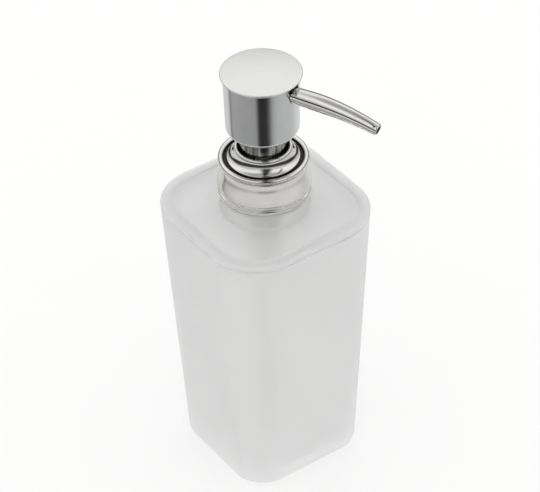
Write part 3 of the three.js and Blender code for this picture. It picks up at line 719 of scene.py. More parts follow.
@dataclass
class Bottle:
    """Tapered square bottle: an open cup and a lid with boss, neck and thread.

    Attributes:
        base_width: Width across the flats at the base.
        top_width: Width across the flats at the lid's top.
        base_corner: Corner radius at the base.
        top_corner: Corner radius at the lid's top.
        height: Height of the lid's top face.
        wall: Thickness of the cup's wall.
        floor: Thickness of the cup's floor.
        foot_round: Rounding at the foot.
        floor_round: Rounding inside, where wall meets floor.
        lid_thickness: Thickness of the lid's plate.
        lid_round: Rounding of the lid's edge.
        border: Width of the lid's border, out from its shallow field.
        border_step: Depth of the field below the border.
        border_slope: Pairs of distance in from the border and share of that depth.
        rib_depth: Depth of the rib under the lid.
        rib_wall: Thickness of that rib.
        seam: Gap between lid and cup.
        boss_radius: Outer radius of the boss.
        boss_height: Height of the boss over the lid.
        boss_wall: Thickness of the boss's wall and roof.
        boss_fillet: Fillet at the boss's foot.
        neck_root: Radius of the neck under its thread.
        neck_wall: Thickness of the neck.
        neck_round: Rounding of the boss's and the neck's outer corners.
        bore_round: Rounding inside the neck's mouth.
        edge: Rounding of the rims at the seam.
        thread_pitch: Rise of one turn, six turns to the inch.
        thread_depth: Height of the thread over the neck.
        thread_turns: Number of turns.
        thread_lead: Distance from the neck's top down to the thread's last turn.
        cup: Place of the cup's CAD node.
        lid: Place of the lid's CAD node.
    """

    base_width: float = 55.5
    top_width: float = 70.0
    base_corner: float = 13.0
    top_corner: float = 21.3
    height: float = 117.3
    wall: float = 2.4
    floor: float = 4.0
    foot_round: float = 1.4
    floor_round: float = 3.0
    lid_thickness: float = 2.2
    lid_round: float = 1.3
    border: float = 4.7
    border_step: float = 0.18
    border_slope: Offsets = ((0.0, 0.0), (0.15, 0.3), (0.4, 1.0), (0.8, 1.0))
    rib_depth: float = 4.0
    rib_wall: float = 1.8
    seam: float = 0.3
    boss_radius: float = 17.41
    boss_height: float = 7.0
    boss_wall: float = 2.5
    boss_fillet: float = 1.6
    neck_root: float = 12.9
    neck_wall: float = 2.0
    neck_round: float = 0.4
    bore_round: float = 0.3
    edge: float = 0.45
    thread_pitch: float = 25.4 / 6
    thread_depth: float = 0.85
    thread_turns: float = 1.25
    thread_lead: float = 1.8
    cup: Extent = field(default_factory=lambda: Extent.of("bottle_body"))
    lid: Extent = field(default_factory=lambda: Extent.of("bottle_top"))

    def square(self, inset: float, z: float) -> Ring:
        """Section of the bottle at a height, set in from its outer faces.

        Args:
            inset: Distance in from the outer faces.
            z: Height of the section.

        Returns:
            The ring, a square with round corners.
        """
        share = z / self.height
        half = (self.base_width + (self.top_width - self.base_width) * share) / 2 - inset
        corner = max(0.5, self.base_corner + (self.top_corner - self.base_corner) * share - inset)
        ring = []
        for side in range(4):
            turn = Matrix.Rotation(side * math.pi / 2, 3, "Z")
            for k in range(CORNER_COUNT):
                angle = math.pi / 2 * k / (CORNER_COUNT - 1)
                x = half - corner + corner * math.cos(angle)
                y = half - corner + corner * math.sin(angle)
                ring.append(turn @ Vector((x, y, z)))
        return ring

    def round(self, radius: float, z: float) -> Ring:
        """Circle with as many points as the square section."""
        return circle(radius, z, 4 * CORNER_COUNT)

    def cup_rings(self) -> list[Ring]:
        """Rings of the open cup, from the middle of the base round the rim to the middle of the floor.

        Returns:
            Rings for skin.
        """
        top = self.cup.top
        foot = arc((self.foot_round, self.foot_round), self.foot_round, 270, 180)
        rim_out = arc((self.edge, top - self.edge), self.edge, 180, 90, 3)
        rim_in = arc((self.wall - self.edge, top - self.edge), self.edge, 90, 0, 3)
        inner = self.wall + self.floor_round
        floor = arc((inner, self.floor + self.floor_round), self.floor_round, 180, 270)
        outline = [*foot, *rim_out, *rim_in, *floor]
        rings = [self.square(inset, z) for inset, z in outline]
        return [[Vector((0, 0, 0))], *rings, [Vector((0, 0, self.floor))]]

    def lid_rings(self) -> list[Ring]:
        """Rings of the lid: rib, plate, boss and neck outside, then the bore back to the rib.

        Returns:
            Rings for skin.
        """
        under = self.height - self.lid_thickness
        rib_out = self.wall + self.seam
        rib_in = rib_out + self.rib_wall
        rib_foot = under - self.rib_depth
        plate = [
            (rib_in, rib_foot),
            (rib_out, rib_foot),
            (rib_out, under),
            (self.edge, under),
            (0, under + self.edge),
            *arc((self.lid_round, self.height - self.lid_round), self.lid_round, 180, 90, 10),
            *(
                (self.border + inward, self.height - self.border_step * share)
                for inward, share in self.border_slope
            ),
        ]
        boss_top = self.height + self.boss_height
        field_height = self.height - self.border_step
        fillet_centre = (self.boss_radius + self.boss_fillet, field_height + self.boss_fillet)
        inside = self.boss_radius - self.boss_wall
        shoulder = boss_top - self.boss_wall
        bore = self.neck_root - self.neck_wall
        rounding = self.neck_round
        boss = [
            *arc(fillet_centre, self.boss_fillet, 270, 180),
            *arc((self.boss_radius - rounding, boss_top - rounding), rounding, 0, 90, 4),
            *arc((self.neck_root + rounding, boss_top + rounding), rounding, 270, 180, 4),
            *arc((self.neck_root - rounding, self.lid.top - rounding), rounding, 0, 90, 4),
            *arc((bore + self.bore_round, self.lid.top - self.bore_round), self.bore_round, 90, 180, 4),
            (bore, shoulder),
            (inside, shoulder),
            (inside, under),
        ]
        rings = [self.square(inset, z) for inset, z in plate]
        rings += [self.round(radius, z) for radius, z in boss]
        return [*rings, self.square(rib_in, under)]

    def build(self) -> None:
        """Make the cup, the lid and the neck's thread."""
        cup = add_mesh("bottle_cup", self.cup_rings(), SOFT_CREASE)
        finish_piece(cup, Body.BOTTLE, FROSTED, ["bottle_body"])
        lid = add_mesh("bottle_lid", self.lid_rings(), SOFT_CREASE)
        finish_piece(lid, Body.BOTTLE, FROSTED, ["bottle_top"])
        start = self.lid.top - self.thread_lead - self.thread_pitch * self.thread_turns
        turns = (0, self.thread_turns)
        rings = thread_rings(self.neck_root, self.thread_depth, start, turns, self.thread_pitch)
        finish_piece(add_mesh("neck_thread", rings, BEAD_CREASE), Body.BOTTLE, FROSTED)


# ---------------------------------------------------------------- collar and ring


@dataclass
class Collar:
    """Screw collar: a black threaded closure inside a polished shell with a beaded lip and a rolled rim.

    Attributes:
        shell: Place of the shell's CAD node.
        inner: Place of the closure's CAD node.
        sheet: Thickness of the shell's metal.
        flare: How much wider the closure is at its foot than at its top.
        panel: Thickness of the closure's top.
        hole_radius: Radius of the hole in the closure's top.
        bore_radius: Radius of the closure's bore, which carries the thread.
        rim_step: How far the cove under the rim stands in from the band.
        lip_step: How far the beaded lip stands in from the band.
        lip_curve: Pairs of distance in from the lip and height over the foot, with the groove over the lip.
        band_curve: Pairs of distance in from the band and height over the foot.
        cove_curve: Pairs of distance in from the cove and distance under the rim.
        bead: Radius of the rolled rim's section.
        bead_radius: Distance of the rolled rim's middle from the axis.
        thread_pitch: Rise of one turn, six turns to the inch.
        thread_depth: Depth of the thread.
        thread_lead: Distance from the closure's foot up to the thread's first turn.
        thread_span: First and last turn of the thread.
    """

    shell: Extent = field(default_factory=lambda: Extent.of("collar_shell"))
    inner: Extent = field(default_factory=lambda: Extent.of("closure"))
    sheet: float = 0.55
    flare: float = 1.1
    panel: float = 1.5
    hole_radius: float = 10.6
    bore_radius: float = 14.05
    rim_step: float = 1.7
    lip_step: float = 0.18
    lip_curve: Offsets = (
        (0.3, 0.0),
        (0.05, 0.3),
        (0.0, 0.85),
        (0.2, 1.4),
        (0.72, 1.72),
        (0.76, 2.15),
        (0.2, 2.5),
    )
    band_curve: Offsets = ((0.04, 3.4), (0.2, 4.6), (0.52, 6.3), (0.86, 8.0), (1.16, 9.6), (1.4, 11.2))
    cove_curve: Offsets = ((0.0, 3.25), (0.16, 2.85), (0.52, 2.65), (0.52, 2.35))
    bead: float = 1.03
    bead_radius: float = 16.38
    thread_pitch: float = 25.4 / 6
    thread_depth: float = 0.85
    thread_lead: float = 1.65
    thread_span: tuple[float, float] = (0.4, 1.65)

    def shell_profile(self) -> Profile:
        """Outer face from the lip up to the rolled rim, then the inner face back down.

        Returns:
            Points of radius and height.
        """
        band, foot, rim = self.shell.radius, self.shell.bottom, self.shell.top
        cove = band - self.rim_step
        lip = band - self.lip_step
        outer = faired(
            [
                *((lip - inward, foot + up) for inward, up in self.lip_curve),
                *((band - inward, foot + up) for inward, up in self.band_curve),
                *((cove - inward, rim - down) for inward, down in self.cove_curve),
            ],
            6,
        )
        bead = self.bead
        middle = (self.bead_radius, rim - bead)
        fold = self.inner.radius - self.flare - 0.2
        inside = cove - self.sheet - 0.14
        inner = [
            (fold, rim - bead - 0.1),
            (fold, self.inner.top + 0.15),
            (inside, self.inner.top + 0.15),
            (inside, rim - 2.9),
            (lip - self.sheet - 0.4, foot + 2.2),
            (lip - self.sheet - 0.1, foot + 0.3),
        ]
        return [*outer, *arc(middle, bead, -80, 165, 24), *inner]

    def closure_profile(self) -> Profile:
        """Black cap: skirt, flat top with its hole, and the bore that takes the thread.

        Returns:
            Points of radius and height.
        """
        top, foot = self.inner.top, self.inner.bottom
        outer, crown = self.inner.radius, self.inner.radius - self.flare
        return [
            (outer, foot),
            (crown, top - 0.8),
            *arc((crown - 0.6, top - 0.6), 0.6, 0, 90, 5),
            (self.hole_radius + 0.2, top),
            (self.hole_radius, top - 0.2),
            (self.hole_radius, top - self.panel),
            (self.bore_radius, top - self.panel),
            (self.bore_radius, foot),
        ]

    def build(self) -> None:
        """Make the shell, the closure and its inside thread."""
        shell = turned("collar_skin", self.shell_profile(), BEAD_CREASE)
        finish_piece(shell, Body.COLLAR, POLISHED, ["collar_shell"])
        finish_piece(turned("closure_cap", self.closure_profile()), Body.COLLAR, BLACK, ["closure"])
        start = self.inner.bottom + self.thread_lead - self.thread_span[0] * self.thread_pitch
        rings = thread_rings(self.bore_radius, -self.thread_depth, start, self.thread_span, self.thread_pitch)
        finish_piece(add_mesh("closure_thread", rings, BEAD_CREASE), Body.COLLAR, BLACK)


@dataclass
class PumpTop:
    """Visible top of the pump: the black well and the coved polished ring round it.

    Attributes:
        ring: Place of the ring's CAD node.
        well: Place of the chaplet's CAD node.
        well_radius: Radius of the well.
        well_wall: Thickness of the well's wall.
        plug_radius: Radius of the plug that snaps into the housing.
        plug_wall: Thickness of the plug.
        stem_hole: Radius of the hole for the stem.
        deck: Thickness of the deck round that hole.
        plug_depth: Depth of the plug under the deck.
        lip_step: Distance from the well's wall out to the middle of the ring's rolled lip.
        bead: Radius of the rolled lip's section.
        foot_bead: Radius of the bead at the ring's foot.
        deck_fillet: Fillet where the well's wall meets the deck.
        sheet: Thickness of the ring's metal at its foot.
    """

    ring: Extent = field(default_factory=lambda: Extent.of("chaplet_ring"))
    well: Extent = field(default_factory=lambda: Extent.of("chaplet"))
    well_radius: float = 9.6
    well_wall: float = 0.7
    plug_radius: float = 9.15
    plug_wall: float = 1.1
    stem_hole: float = 3.6
    deck: float = 1.1
    plug_depth: float = 8.1
    lip_step: float = 0.9
    bead: float = 0.72
    foot_bead: float = 0.36
    deck_fillet: float = 0.5
    sheet: float = 0.55

    def ring_profile(self) -> Profile:
        """Foot, concave flank and rolled lip, then the inner face down to the foot.

        Returns:
            Points of radius and height.
        """
        foot_r, foot, top = self.ring.radius, self.ring.bottom, self.ring.top
        lip = self.well_radius + self.lip_step
        bead = self.bead
        foot_bead = self.foot_bead
        cove = faired(
            [
                (foot_r - 0.32, foot + 0.82),
                (foot_r - 1.0, foot + 1.2),
                (foot_r - 1.75, foot + 1.86),
                (lip + 1.06, foot + 2.95),
                (lip + 0.62, foot + 4.0),
                (lip + 0.5, top - 1.25),
            ],
            6,
        )
        return [
            (foot_r - 0.05, foot),
            *arc((foot_r - foot_bead, foot + 0.42), foot_bead, -20, 85, 7),
            *cove,
            *arc((lip, top - bead), bead, -35, 190, 22),
            (lip - 0.35, top - 1.75),
            (lip + 0.1, foot + 3.4),
            (lip + 0.6, foot + 2.1),
            (lip + 1.4, foot + 1.15),
            (foot_r - self.sheet, foot + 0.6),
            (foot_r - self.sheet, foot),
        ]

    def well_profile(self) -> Profile:
        """Black insert: snap plug, retaining flange, well wall and the deck that guides the stem.

        Returns:
            Points of radius and height.
        """
        bottom, top = self.well.bottom, self.well.top
        deck_under = bottom + self.plug_depth
        deck_top = deck_under + self.deck
        flange_r = self.well.radius
        flange = self.ring.bottom - 0.15
        outer_r = self.well_radius + self.well_wall
        bore = self.plug_radius - self.plug_wall
        fillet = self.deck_fillet
        return [
            (self.plug_radius - 0.2, bottom),
            (self.plug_radius, bottom + 0.6),
            (self.plug_radius, deck_under),
            (outer_r, deck_under),
            (outer_r, flange),
            (flange_r, flange),
            (flange_r, flange + 0.6),
            (outer_r, flange + 0.9),
            *arc((outer_r - 0.2, top - 0.2), 0.2, 0, 90, 3),
            *arc((self.well_radius + 0.2, top - 0.2), 0.2, 90, 180, 3),
            *arc((self.well_radius - fillet, deck_top + fillet), fillet, 0, -90, 4),
            (self.stem_hole + 0.3, deck_top),
            (self.stem_hole, deck_top - 0.3),
            (self.stem_hole, deck_under),
            (bore, deck_under),
            (bore, bottom),
        ]

    def build(self) -> None:
        """Make the ring and the well."""
        ring = turned("coved_ring", self.ring_profile(), BEAD_CREASE)
        finish_piece(ring, Body.PUMP, POLISHED, ["chaplet_ring"])
        finish_piece(turned("pump_well", self.well_profile()), Body.PUMP, BLACK, ["chaplet"])


# ---------------------------------------------------------------- head


@dataclass
class Head:
    """Push-down head: polished sleeve, buffed cylinder with its foot rounded in, and a satin disc.

    Attributes:
        sleeve: Place of the sleeve's CAD node.
        shell: Place of the cylinder's CAD node.
        cap: Place of the disc's CAD node.
        sleeve_radius: Outer radius of the sleeve.
        sheet: Thickness of the metal.
        taper: How much wider the cylinder is at its top.
        foot_round: Rounding of the cylinder's foot.
        dome: Height of the disc's dome.
        plug_radius: Radius of the plug under the disc.
        plug_depth: Depth of that plug.
        cap_gap: Gap between cylinder and disc, and between cylinder and sleeve.
        cap_edge: Radius of the disc's rolled edge.
        sleeve_roll: Radius of the sleeve's rolled lower edge.
    """

    sleeve: Extent = field(default_factory=lambda: Extent.of("head_sleeve"))
    shell: Extent = field(default_factory=lambda: Extent.of("head_shell"))
    cap: Extent = field(default_factory=lambda: Extent.of("head_cap"))
    sleeve_radius: float = 9.03
    sheet: float = 0.55
    taper: float = 0.42
    foot_round: float = 2.6
    dome: float = 0.6
    plug_radius: float = 11.85
    plug_depth: float = 2.4
    cap_gap: float = 0.2
    cap_edge: float = 0.38
    sleeve_roll: float = 0.28

    def sleeve_profile(self) -> Profile:
        """Plain tube with a rolled lower edge and a flange held inside the head.

        Returns:
            Points of radius and height.
        """
        radius, bottom, top = self.sleeve_radius, self.sleeve.bottom, self.sleeve.top
        bore = radius - self.sheet
        return [
            *arc((radius - self.sleeve_roll, bottom + self.sleeve_roll), self.sleeve_roll, 270, 360, 6),
            (radius, top - self.sheet),
            (self.sleeve.radius, top - self.sheet),
            (self.sleeve.radius, top),
            (bore, top),
            *arc((bore + 0.2, bottom + 0.2), 0.2, 180, 270, 3),
        ]

    def shell_profile(self) -> Profile:
        """Rounded foot, slightly flaring wall and the inner face.

        Returns:
            Points of radius and height.
        """
        base = self.shell.radius - self.taper
        foot, top = self.shell.bottom, self.shell.top
        hole = self.sleeve_radius + self.cap_gap
        centre = (base - self.foot_round, foot + self.foot_round)
        return [
            (hole, foot),
            *arc(centre, self.foot_round, 270, 360, 14),
            (self.shell.radius, top - 0.1),
            (self.shell.radius - 0.1, top),
            (self.shell.radius - self.sheet, top),
            *arc(centre, self.foot_round - self.sheet, 360, 270, 10),
            (hole, foot + self.sheet),
        ]

    def cap_profile(self) -> Profile:
        """Plug, flared underside, thin rim and a slightly domed top.

        Returns:
            Points of radius and height.
        """
        radius, top = self.cap.radius, self.cap.top
        under = self.shell.top + self.cap_gap
        plug = self.plug_radius
        neck = self.shell.radius
        edge = self.cap_edge
        flare = faired([(neck, under), (radius - 0.85, under + 0.1), (radius - 0.42, under + 0.32)], 5)
        dome_foot = top - self.dome
        reach = radius - edge
        shares = [1 - k / DOME_STEPS for k in range(1, DOME_STEPS)]
        dome = [(reach * share, top - self.dome * share**2) for share in shares]
        crown = [*flare, *arc((reach, dome_foot - edge), edge, -60, 86, 12), *dome]
        return [
            (0, under),
            (plug - 1, under),
            (plug - 1, under - self.plug_depth),
            (plug, under - self.plug_depth),
            (plug, under),
            *crown,
            (0, top),
        ]

    def build(self, notch: Callable[[float, float, float, float], list[bpy.types.Object]]) -> None:
        """Make the head's pieces.

        Args:
            notch: Makes the bodies that clear the spout's way, from one reach to another with a gap and a
                top.
        """
        # The sleeve's dark and bright upright streaks are painted reflection in the plate's colour.
        finish_piece(turned("sleeve_tube", self.sleeve_profile()), Body.HEAD, DRAWN_PAINTED_REFLECTIONS, ["head_sleeve"])
        cylinder = turned("head_cylinder", self.shell_profile())
        cut_away(cylinder, notch(self.plug_radius, self.shell.radius + 2, 0.16, self.shell.top + 0.1))
        finish_piece(cylinder, Body.HEAD, SOFT_POLISHED, ["head_shell"])
        disc = turned("head_disc", self.cap_profile(), DISC_CREASE)
        plug_top = self.shell.top + self.cap_gap - 0.02
        cut_away(disc, notch(self.plug_radius - 3, self.shell.radius - 0.8, 0.5, plug_top))
        finish_piece(disc, Body.HEAD, SATIN, ["head_cap"])


@dataclass
class Spout:
    """Slender tube that leaves just under the disc, runs level and then droops to a small ringed mouth.

    Attributes:
        head: Place of the cylinder's CAD node.
        heading: Direction of the spout in degrees from +X.
        root_radius: Radius where it leaves the head.
        belly_radius: Largest radius, a third of the way along.
        tip_radius: Radius at the mouth.
        wall: Thickness of the tube.
        reach: Level distance of the mouth from the axis.
        straight: Length of the level part outside the head.
        droop: Slope at the mouth in degrees.
        cap_drop: Gap between the head's top edge and the top of the tube.
        belly_share: Share of the length where the radius is largest.
        root_reach: Distance from the axis where the tube begins.
        sides: Number of points round the tube.
        bore_radius: Radius of the bore in the mouth's insert.
        nozzle_length: Length of that insert.
        stations: Number of stretches along the tube.
        groove_reach: Distance from the mouth back to the groove behind its bead.
        groove_curve: Pairs of distance back from the mouth and distance in from the tube's face.
        mouth_curve: Pairs of distance back from the mouth and distance in from the bead.
    """

    head: Extent = field(default_factory=lambda: Extent.of("head_shell"))
    heading: float = 24.0
    root_radius: float = 3.17
    belly_radius: float = 3.41
    tip_radius: float = 2.4
    wall: float = 0.6
    reach: float = 49.5
    straight: float = 9.0
    droop: float = 15.8
    cap_drop: float = 0.8
    belly_share: float = 0.33
    root_reach: float = 12.0
    sides: int = 64
    bore_radius: float = 1.05
    nozzle_length: float = 3.2
    stations: int = 30
    groove_reach: float = 1.3
    groove_curve: Offsets = ((1.1, 0.08), (0.95, 0.06))
    mouth_curve: Offsets = ((0.75, 0.03), (0.5, 0.0), (0.2, 0.08), (0.04, 0.25), (0.0, 0.42))

    @property
    def level(self) -> float:
        """Height of the centre line at the root."""
        return self.head.top - self.cap_drop - self.root_radius

    def frame_at(self, reach: float) -> tuple[Vector, Vector, Vector]:
        """Centre line at a distance from the axis.

        Args:
            reach: Level distance from the pump's axis.

        Returns:
            Point, tangent and the level direction across the spout.
        """
        bend_start = self.head.radius + self.straight
        bend_r = (self.reach - bend_start) / math.sin(math.radians(self.droop))
        angle = math.asin(max(0.0, reach - bend_start) / bend_r)
        turn = Matrix.Rotation(math.radians(self.heading), 3, "Z")
        point = turn @ Vector((reach, 0, self.level - bend_r * (1 - math.cos(angle))))
        tangent = turn @ Vector((math.cos(angle), 0, -math.sin(angle)))
        return point, tangent, turn @ Vector((0, 1, 0))

    def radius_at(self, reach: float) -> float:
        """Outer radius: it swells gently after the root and then tapers to the tip.

        Args:
            reach: Level distance from the pump's axis.

        Returns:
            The radius.
        """
        share = min(1.0, max(0.0, (reach - self.head.radius) / (self.reach - self.head.radius)))
        if share < self.belly_share:
            ease = math.sin(math.pi / 2 * share / self.belly_share)
            return self.root_radius + (self.belly_radius - self.root_radius) * ease
        ease = ((share - self.belly_share) / (1 - self.belly_share)) ** 1.25
        return self.belly_radius + (self.tip_radius - 0.12 - self.belly_radius) * ease

    def ring(self, reach: float, radius: float) -> Ring:
        """Ring of points round the centre line."""
        point, tangent, side = self.frame_at(reach)
        return tube_ring(point, tangent, side, radius, self.sides)

    def tube_rings(self) -> list[Ring]:
        """Outer face to the mouth's small bead, then the bore back to the root.

        Returns:
            Rings for skin.
        """
        last = self.reach - self.groove_reach
        count = self.stations
        steps = [self.root_reach + (last - self.root_reach) * k / count for k in range(count + 1)]
        outer = [self.ring(reach, self.radius_at(reach)) for reach in steps]
        neck = self.radius_at(last)
        bead = self.tip_radius
        lip = [
            *(self.ring(self.reach - back, neck - inward) for back, inward in self.groove_curve),
            *(self.ring(self.reach - back, bead - inward) for back, inward in self.mouth_curve),
            self.ring(self.reach - 0.06, bead - self.wall),
        ]
        bore = [self.ring(reach, self.radius_at(reach) - self.wall) for reach in reversed(steps)]
        return [*outer, *lip, *bore]

    def nozzle_rings(self) -> list[Ring]:
        """Black insert in the mouth, dished towards its bore.

        Returns:
            Rings for skin.
        """
        front = self.reach - 0.3
        back = front - self.nozzle_length
        outer = self.tip_radius - self.wall - 0.08
        return [
            self.ring(back, outer),
            self.ring(front - 0.15, outer),
            self.ring(front, outer - 0.15),
            self.ring(front, outer - 0.3),
            self.ring(front - 0.35, outer - 0.42),
            self.ring(front - 0.9, self.bore_radius),
            self.ring(back, self.bore_radius),
        ]

    def notch(self, start: float, end: float, gap: float, top: float) -> list[bpy.types.Object]:
        """Bodies that clear a round-bottomed slot for the spout.

        Args:
            start: Distance from the axis where the slot begins.
            end: Distance from the axis where it ends.
            gap: Room left round the spout.
            top: Height where the slot ends.

        Returns:
            The bodies to cut away.
        """
        radius = self.root_radius + gap
        _, tangent, side = self.frame_at(start)
        ends = [tangent * reach + Vector((0, 0, self.level)) for reach in (start, end)]
        round_rings = [tube_ring(point, tangent, side, radius, self.sides) for point in ends]
        round_body = add_mesh("slot_round", [[ends[0]], *round_rings, [ends[1]]])
        rise = Vector((0, 0, top - self.level))
        box_rings = []
        for point in ends:
            low = [point - side * radius, point + side * radius]
            box_rings.append([low[0], low[1], low[1] + rise, low[0] + rise])
        middles = [[sum(ring, Vector()) / 4] for ring in box_rings]
        box_body = add_mesh("slot_box", [middles[0], *box_rings, middles[1]])
        return [round_body, box_body]

    def build(self) -> None:
        """Make the tube and the insert in its mouth."""
        finish_piece(add_mesh("spout_tube", self.tube_rings(), BEAD_CREASE), Body.HEAD, POLISHED, ["spout"])
        insert = add_mesh("mouth_insert", self.nozzle_rings(), SOFT_CREASE)
        finish_piece(insert, Body.HEAD, BLACK, ["nozzle_tip"])


# ---------------------------------------------------------------- studio


@dataclass
class View:
    """Camera of the main picture.

    Attributes:
        azimuth: Side that it looks from, in degrees.
        elevation: Height above the horizon, in degrees.
        roll: Turn about the line of sight, in degrees.
        yaw: Small turn that centres the object, in degrees.
        pitch: Small tilt that centres the object, in degrees.
        distance: Distance from the point looked at, in millimetres.
        aim_height: Height of that point, in millimetres.
        lens: Focal length on a 36 mm wide sensor.
    """

    azimuth: float = 55.6545
    elevation: float = 39.2044
    roll: float = 1.7836
    yaw: float = 0.0741
    pitch: float = -0.0839
    distance: float = 1101.136
    aim_height: float = 93.333
    lens: float = 188.887

    def axes(self) -> Matrix:
        """Camera axes as the columns right, up and back.

        Returns:
            The three axes.
        """
        a, e = math.radians(self.azimuth), math.radians(self.elevation)
        back = Vector((math.sin(a) * math.cos(e), -math.cos(a) * math.cos(e), math.sin(e)))
        right = Vector((math.cos(a), math.sin(a), 0))
        return Matrix((right, back.cross(right), back)).transposed()

    def build(self) -> None:
        """Make the camera and set it as the scene's own."""
        data = bpy.data.cameras.new("camera")
        data.sensor_width = 36.0
        data.lens = self.lens
        data.clip_start = 0.01
        axes = self.axes()
        small = (
            Matrix.Rotation(math.radians(-self.yaw), 3, "Y")
            @ Matrix.Rotation(math.radians(-self.pitch), 3, "X")
            @ Matrix.Rotation(math.radians(-self.roll), 3, "Z")
        )
        place = Vector((0, 0, self.aim_height)) + axes.col[2] * self.distance
        camera = bpy.data.objects.new("camera", data)
        camera.matrix_world = Matrix.Translation(place * MM) @ (axes @ small).to_4x4()
        bpy.context.scene.collection.objects.link(camera)
        bpy.context.scene.camera = camera


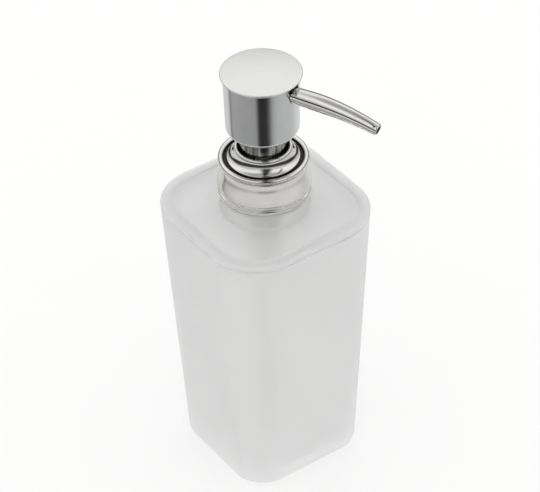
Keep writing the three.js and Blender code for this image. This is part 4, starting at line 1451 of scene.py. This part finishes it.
@dataclass
class Studio:
    """Pale floor under an even white sky, with a room of soft boxes that only polished surfaces mirror.

    Attributes:
        view: Camera that the room is turned towards.
        floor_size: Width of the floor.
        height_curve: Pairs of the sine of an elevation and how bright the mirrored room is there.
        side_curve: Pairs of degrees to the camera's right and how bright the mirrored room is there.
        evenness: Sines of the elevations between which the sides of the floor melt into an even room.
        stand_side: Degrees to the camera's right of a dark stand.
        stand_widths: Half widths of the stand in degrees, at its core and at its soft edge.
        stand_level: Brightness of the stand.
        stand_heights: Sines of the elevations between which the stand comes in.
        sky: Brightness of the even sky.
        paper: Colour of the floor by the light that falls on it.
        glow: Brightness of the floor by the light beneath it.
        backdrop: Brightness of the backdrop behind the floor.
    """

    view: View
    floor_size: float = 6000.0
    height_curve: tuple[tuple[float, float], ...] = (
        (-1.0, 1.0),
        (-0.82, 0.9),
        (-0.66, 0.6),
        (-0.5, 0.6),
        (-0.3, 0.95),
        (-0.1, 0.88),
        (-0.01, 0.06),
        (0.14, 0.05),
        (0.28, 0.62),
        (0.46, 0.98),
        (0.7, 1.3),
        (0.84, 1.1),
        (0.93, 0.6),
        (1.0, 0.5),
    )
    side_curve: tuple[tuple[float, float], ...] = (
        (-180, 1.4),
        (-132, 1.5),
        (-119, 1.3),
        (-113, 0.4),
        (-106, 0.86),
        (-60, 0.8),
        (-22, 0.72),
        (-8, 0.05),
        (11, 0.06),
        (22, 0.3),
        (34, 0.85),
        (50, 1.1),
        (100, 1.25),
        (150, 1.6),
        (180, 1.4),
    )
    evenness: tuple[float, float] = (-0.5, -0.3)
    stand_side: float = 8.0
    stand_widths: tuple[float, float] = (8.0, 26.0)
    stand_level: float = 0.06
    stand_heights: tuple[float, float] = (0.25, 0.42)
    sky: float = 1.5
    paper: str = "#9c9c9b"
    glow: float = 0.6
    backdrop: float = 0.98

    @staticmethod
    def curve(
        tree: bpy.types.NodeTree, value: Socket, span: float, pairs: Sequence[tuple[float, float]]
    ) -> Socket:
        """Smooth curve through pairs of input and output.

        Args:
            tree: Node tree that takes the nodes.
            value: Input that runs from minus span to span.
            span: Greatest value of the input.
            pairs: Inputs, in the unit of span, and outputs of no more than 2, from -span to span.

        Returns:
            The output socket.
        """
        share = add_node(tree, "ShaderNodeMapRange", {"From Min": -span, "From Max": span}, {"Value": value})
        ramp = add_node(tree, "ShaderNodeFloatCurve", links={"Value": share.outputs["Result"]})
        points = ramp.mapping.curves[0].points
        places = [((at / span + 1) / 2, level / 2) for at, level in pairs]
        points[0].location, points[-1].location = places[0], places[-1]
        for place in places[1:-1]:
            points.new(*place)
        for point in points:
            point.handle_type = "AUTO_CLAMPED"
        ramp.mapping.update()
        doubling = {"operation": "MULTIPLY", 1: 2.0}
        return add_node(tree, "ShaderNodeMath", doubling, {0: ramp.outputs["Value"]}).outputs["Value"]

    def build_world(self) -> None:
        """White sky for all light, and the room of soft boxes for mirrored rays."""
        world = bpy.data.worlds.new("studio")
        bpy.context.scene.world = world
        world.use_nodes = True
        tree = world.node_tree
        tree.nodes.clear()
        direction = add_node(tree, "ShaderNodeTexCoord").outputs["Generated"]
        axes = add_node(tree, "ShaderNodeSeparateXYZ", links={"Vector": direction}).outputs
        value = direction
        for settings, links in (
            ({"operation": "MULTIPLY", 1: -1.0}, {0: axes["Y"]}),
            ({"operation": "ARCTAN2"}, {0: axes["X"], 1: None}),
            ({"operation": "SUBTRACT", 1: math.radians(self.view.azimuth)}, {0: None}),
            ({"operation": "WRAP", 1: math.pi, 2: -math.pi}, {0: None}),
            ({"operation": "DEGREES"}, {0: None}),
        ):
            fed = {place: source or value for place, source in links.items()}
            value = add_node(tree, "ShaderNodeMath", settings, fed).outputs["Value"]
        sides = self.curve(tree, value, 180.0, self.side_curve)
        heights = self.curve(tree, axes["Z"], 1.0, self.height_curve)
        even = add_node(
            tree,
            "ShaderNodeMapRange",
            {"From Min": self.evenness[0], "From Max": self.evenness[1], "To Max": 1.0},
            {"Value": axes["Z"], "To Min": sides},
        ).outputs["Result"]
        beside = {"operation": "SUBTRACT", 1: self.stand_side}
        from_stand = add_node(tree, "ShaderNodeMath", beside, {0: value}).outputs["Value"]
        off_stand = add_node(tree, "ShaderNodeMath", {"operation": "ABSOLUTE"}, {0: from_stand})
        core, edge = self.stand_widths
        stand = add_node(
            tree,
            "ShaderNodeMapRange",
            {"From Min": core, "From Max": edge, "To Min": self.stand_level},
            {"Value": off_stand.outputs["Value"]},
        ).outputs["Result"]
        low, high = self.stand_heights
        ceiling = add_node(
            tree,
            "ShaderNodeMapRange",
            {"From Min": low, "From Max": high, "To Min": 1.0},
            {"Value": axes["Z"], "To Max": stand},
        ).outputs["Result"]
        product = {"operation": "MULTIPLY"}
        walls = add_node(tree, "ShaderNodeMath", product, {0: heights, 1: even}).outputs["Value"]
        room = add_node(tree, "ShaderNodeMath", product, {0: walls, 1: ceiling}).outputs["Value"]
        path = add_node(tree, "ShaderNodeLightPath").outputs
        mirrored = add_node(tree, "ShaderNodeBackground", links={"Strength": room}).outputs["Background"]
        sky, backdrop = (
            add_node(tree, "ShaderNodeBackground", {"Strength": level}).outputs["Background"]
            for level in (self.sky, self.backdrop)
        )
        by_ray = {"Fac": path["Is Glossy Ray"], 1: sky, 2: mirrored}
        light = add_node(tree, "ShaderNodeMixShader", links=by_ray).outputs["Shader"]
        by_eye = {"Fac": path["Is Camera Ray"], 1: light, 2: backdrop}
        seen = add_node(tree, "ShaderNodeMixShader", links=by_eye).outputs["Shader"]
        add_node(tree, "ShaderNodeOutputWorld", links={"Surface": seen})

    def build_floor(self) -> None:
        """Plain pale floor: opal sheet lit from beneath, which keeps the shadow on it soft and faint."""
        half = self.floor_size / 2 * MM
        mesh = bpy.data.meshes.new("floor")
        corners = [(-half, -half, 0), (half, -half, 0), (half, half, 0), (-half, half, 0)]
        mesh.from_pydata(corners, [], [[0, 1, 2, 3]])
        floor = bpy.data.objects.new("floor", mesh)
        bpy.context.scene.collection.objects.link(floor)
        material = bpy.data.materials.new("pale_paper")
        material.use_nodes = True
        tree = material.node_tree
        tree.nodes.clear()
        paper = add_node(tree, "ShaderNodeBsdfDiffuse", {"Color": linear(self.paper)}).outputs["BSDF"]
        glow = add_node(tree, "ShaderNodeEmission", {"Strength": self.glow}).outputs["Emission"]
        lit = add_node(tree, "ShaderNodeAddShader", links={0: paper, 1: glow}).outputs["Shader"]
        add_node(tree, "ShaderNodeOutputMaterial", links={"Surface": lit})
        mesh.materials.append(material)
        floor.visible_glossy = False

    def build(self) -> None:
        """Make the world and the floor."""
        bpy.context.scene.view_settings.view_transform = "Standard"
        self.build_world()
        self.build_floor()


# ---------------------------------------------------------------- assembly


def dress_carried_nodes() -> None:
    """Give each CAD node that stays its own finish."""
    for name, finish in CARRIED_NODES.items():
        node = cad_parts[name]
        node.data.materials.clear()
        node.data.materials.append(finish.build())
        LOG.info("node %s in %s", name, finish.name)


def main() -> None:
    """Build the camera, the studio and the dispenser in order."""
    logging.basicConfig(level=logging.INFO, format="%(name)s: %(message)s")
    view = View()
    view.build()
    Studio(view).build()
    spout = Spout()
    Bottle().build()
    Collar().build()
    PumpTop().build()
    Head().build(spout.notch)
    spout.build()
    dress_carried_nodes()


if __name__ == "__main__":
    main()
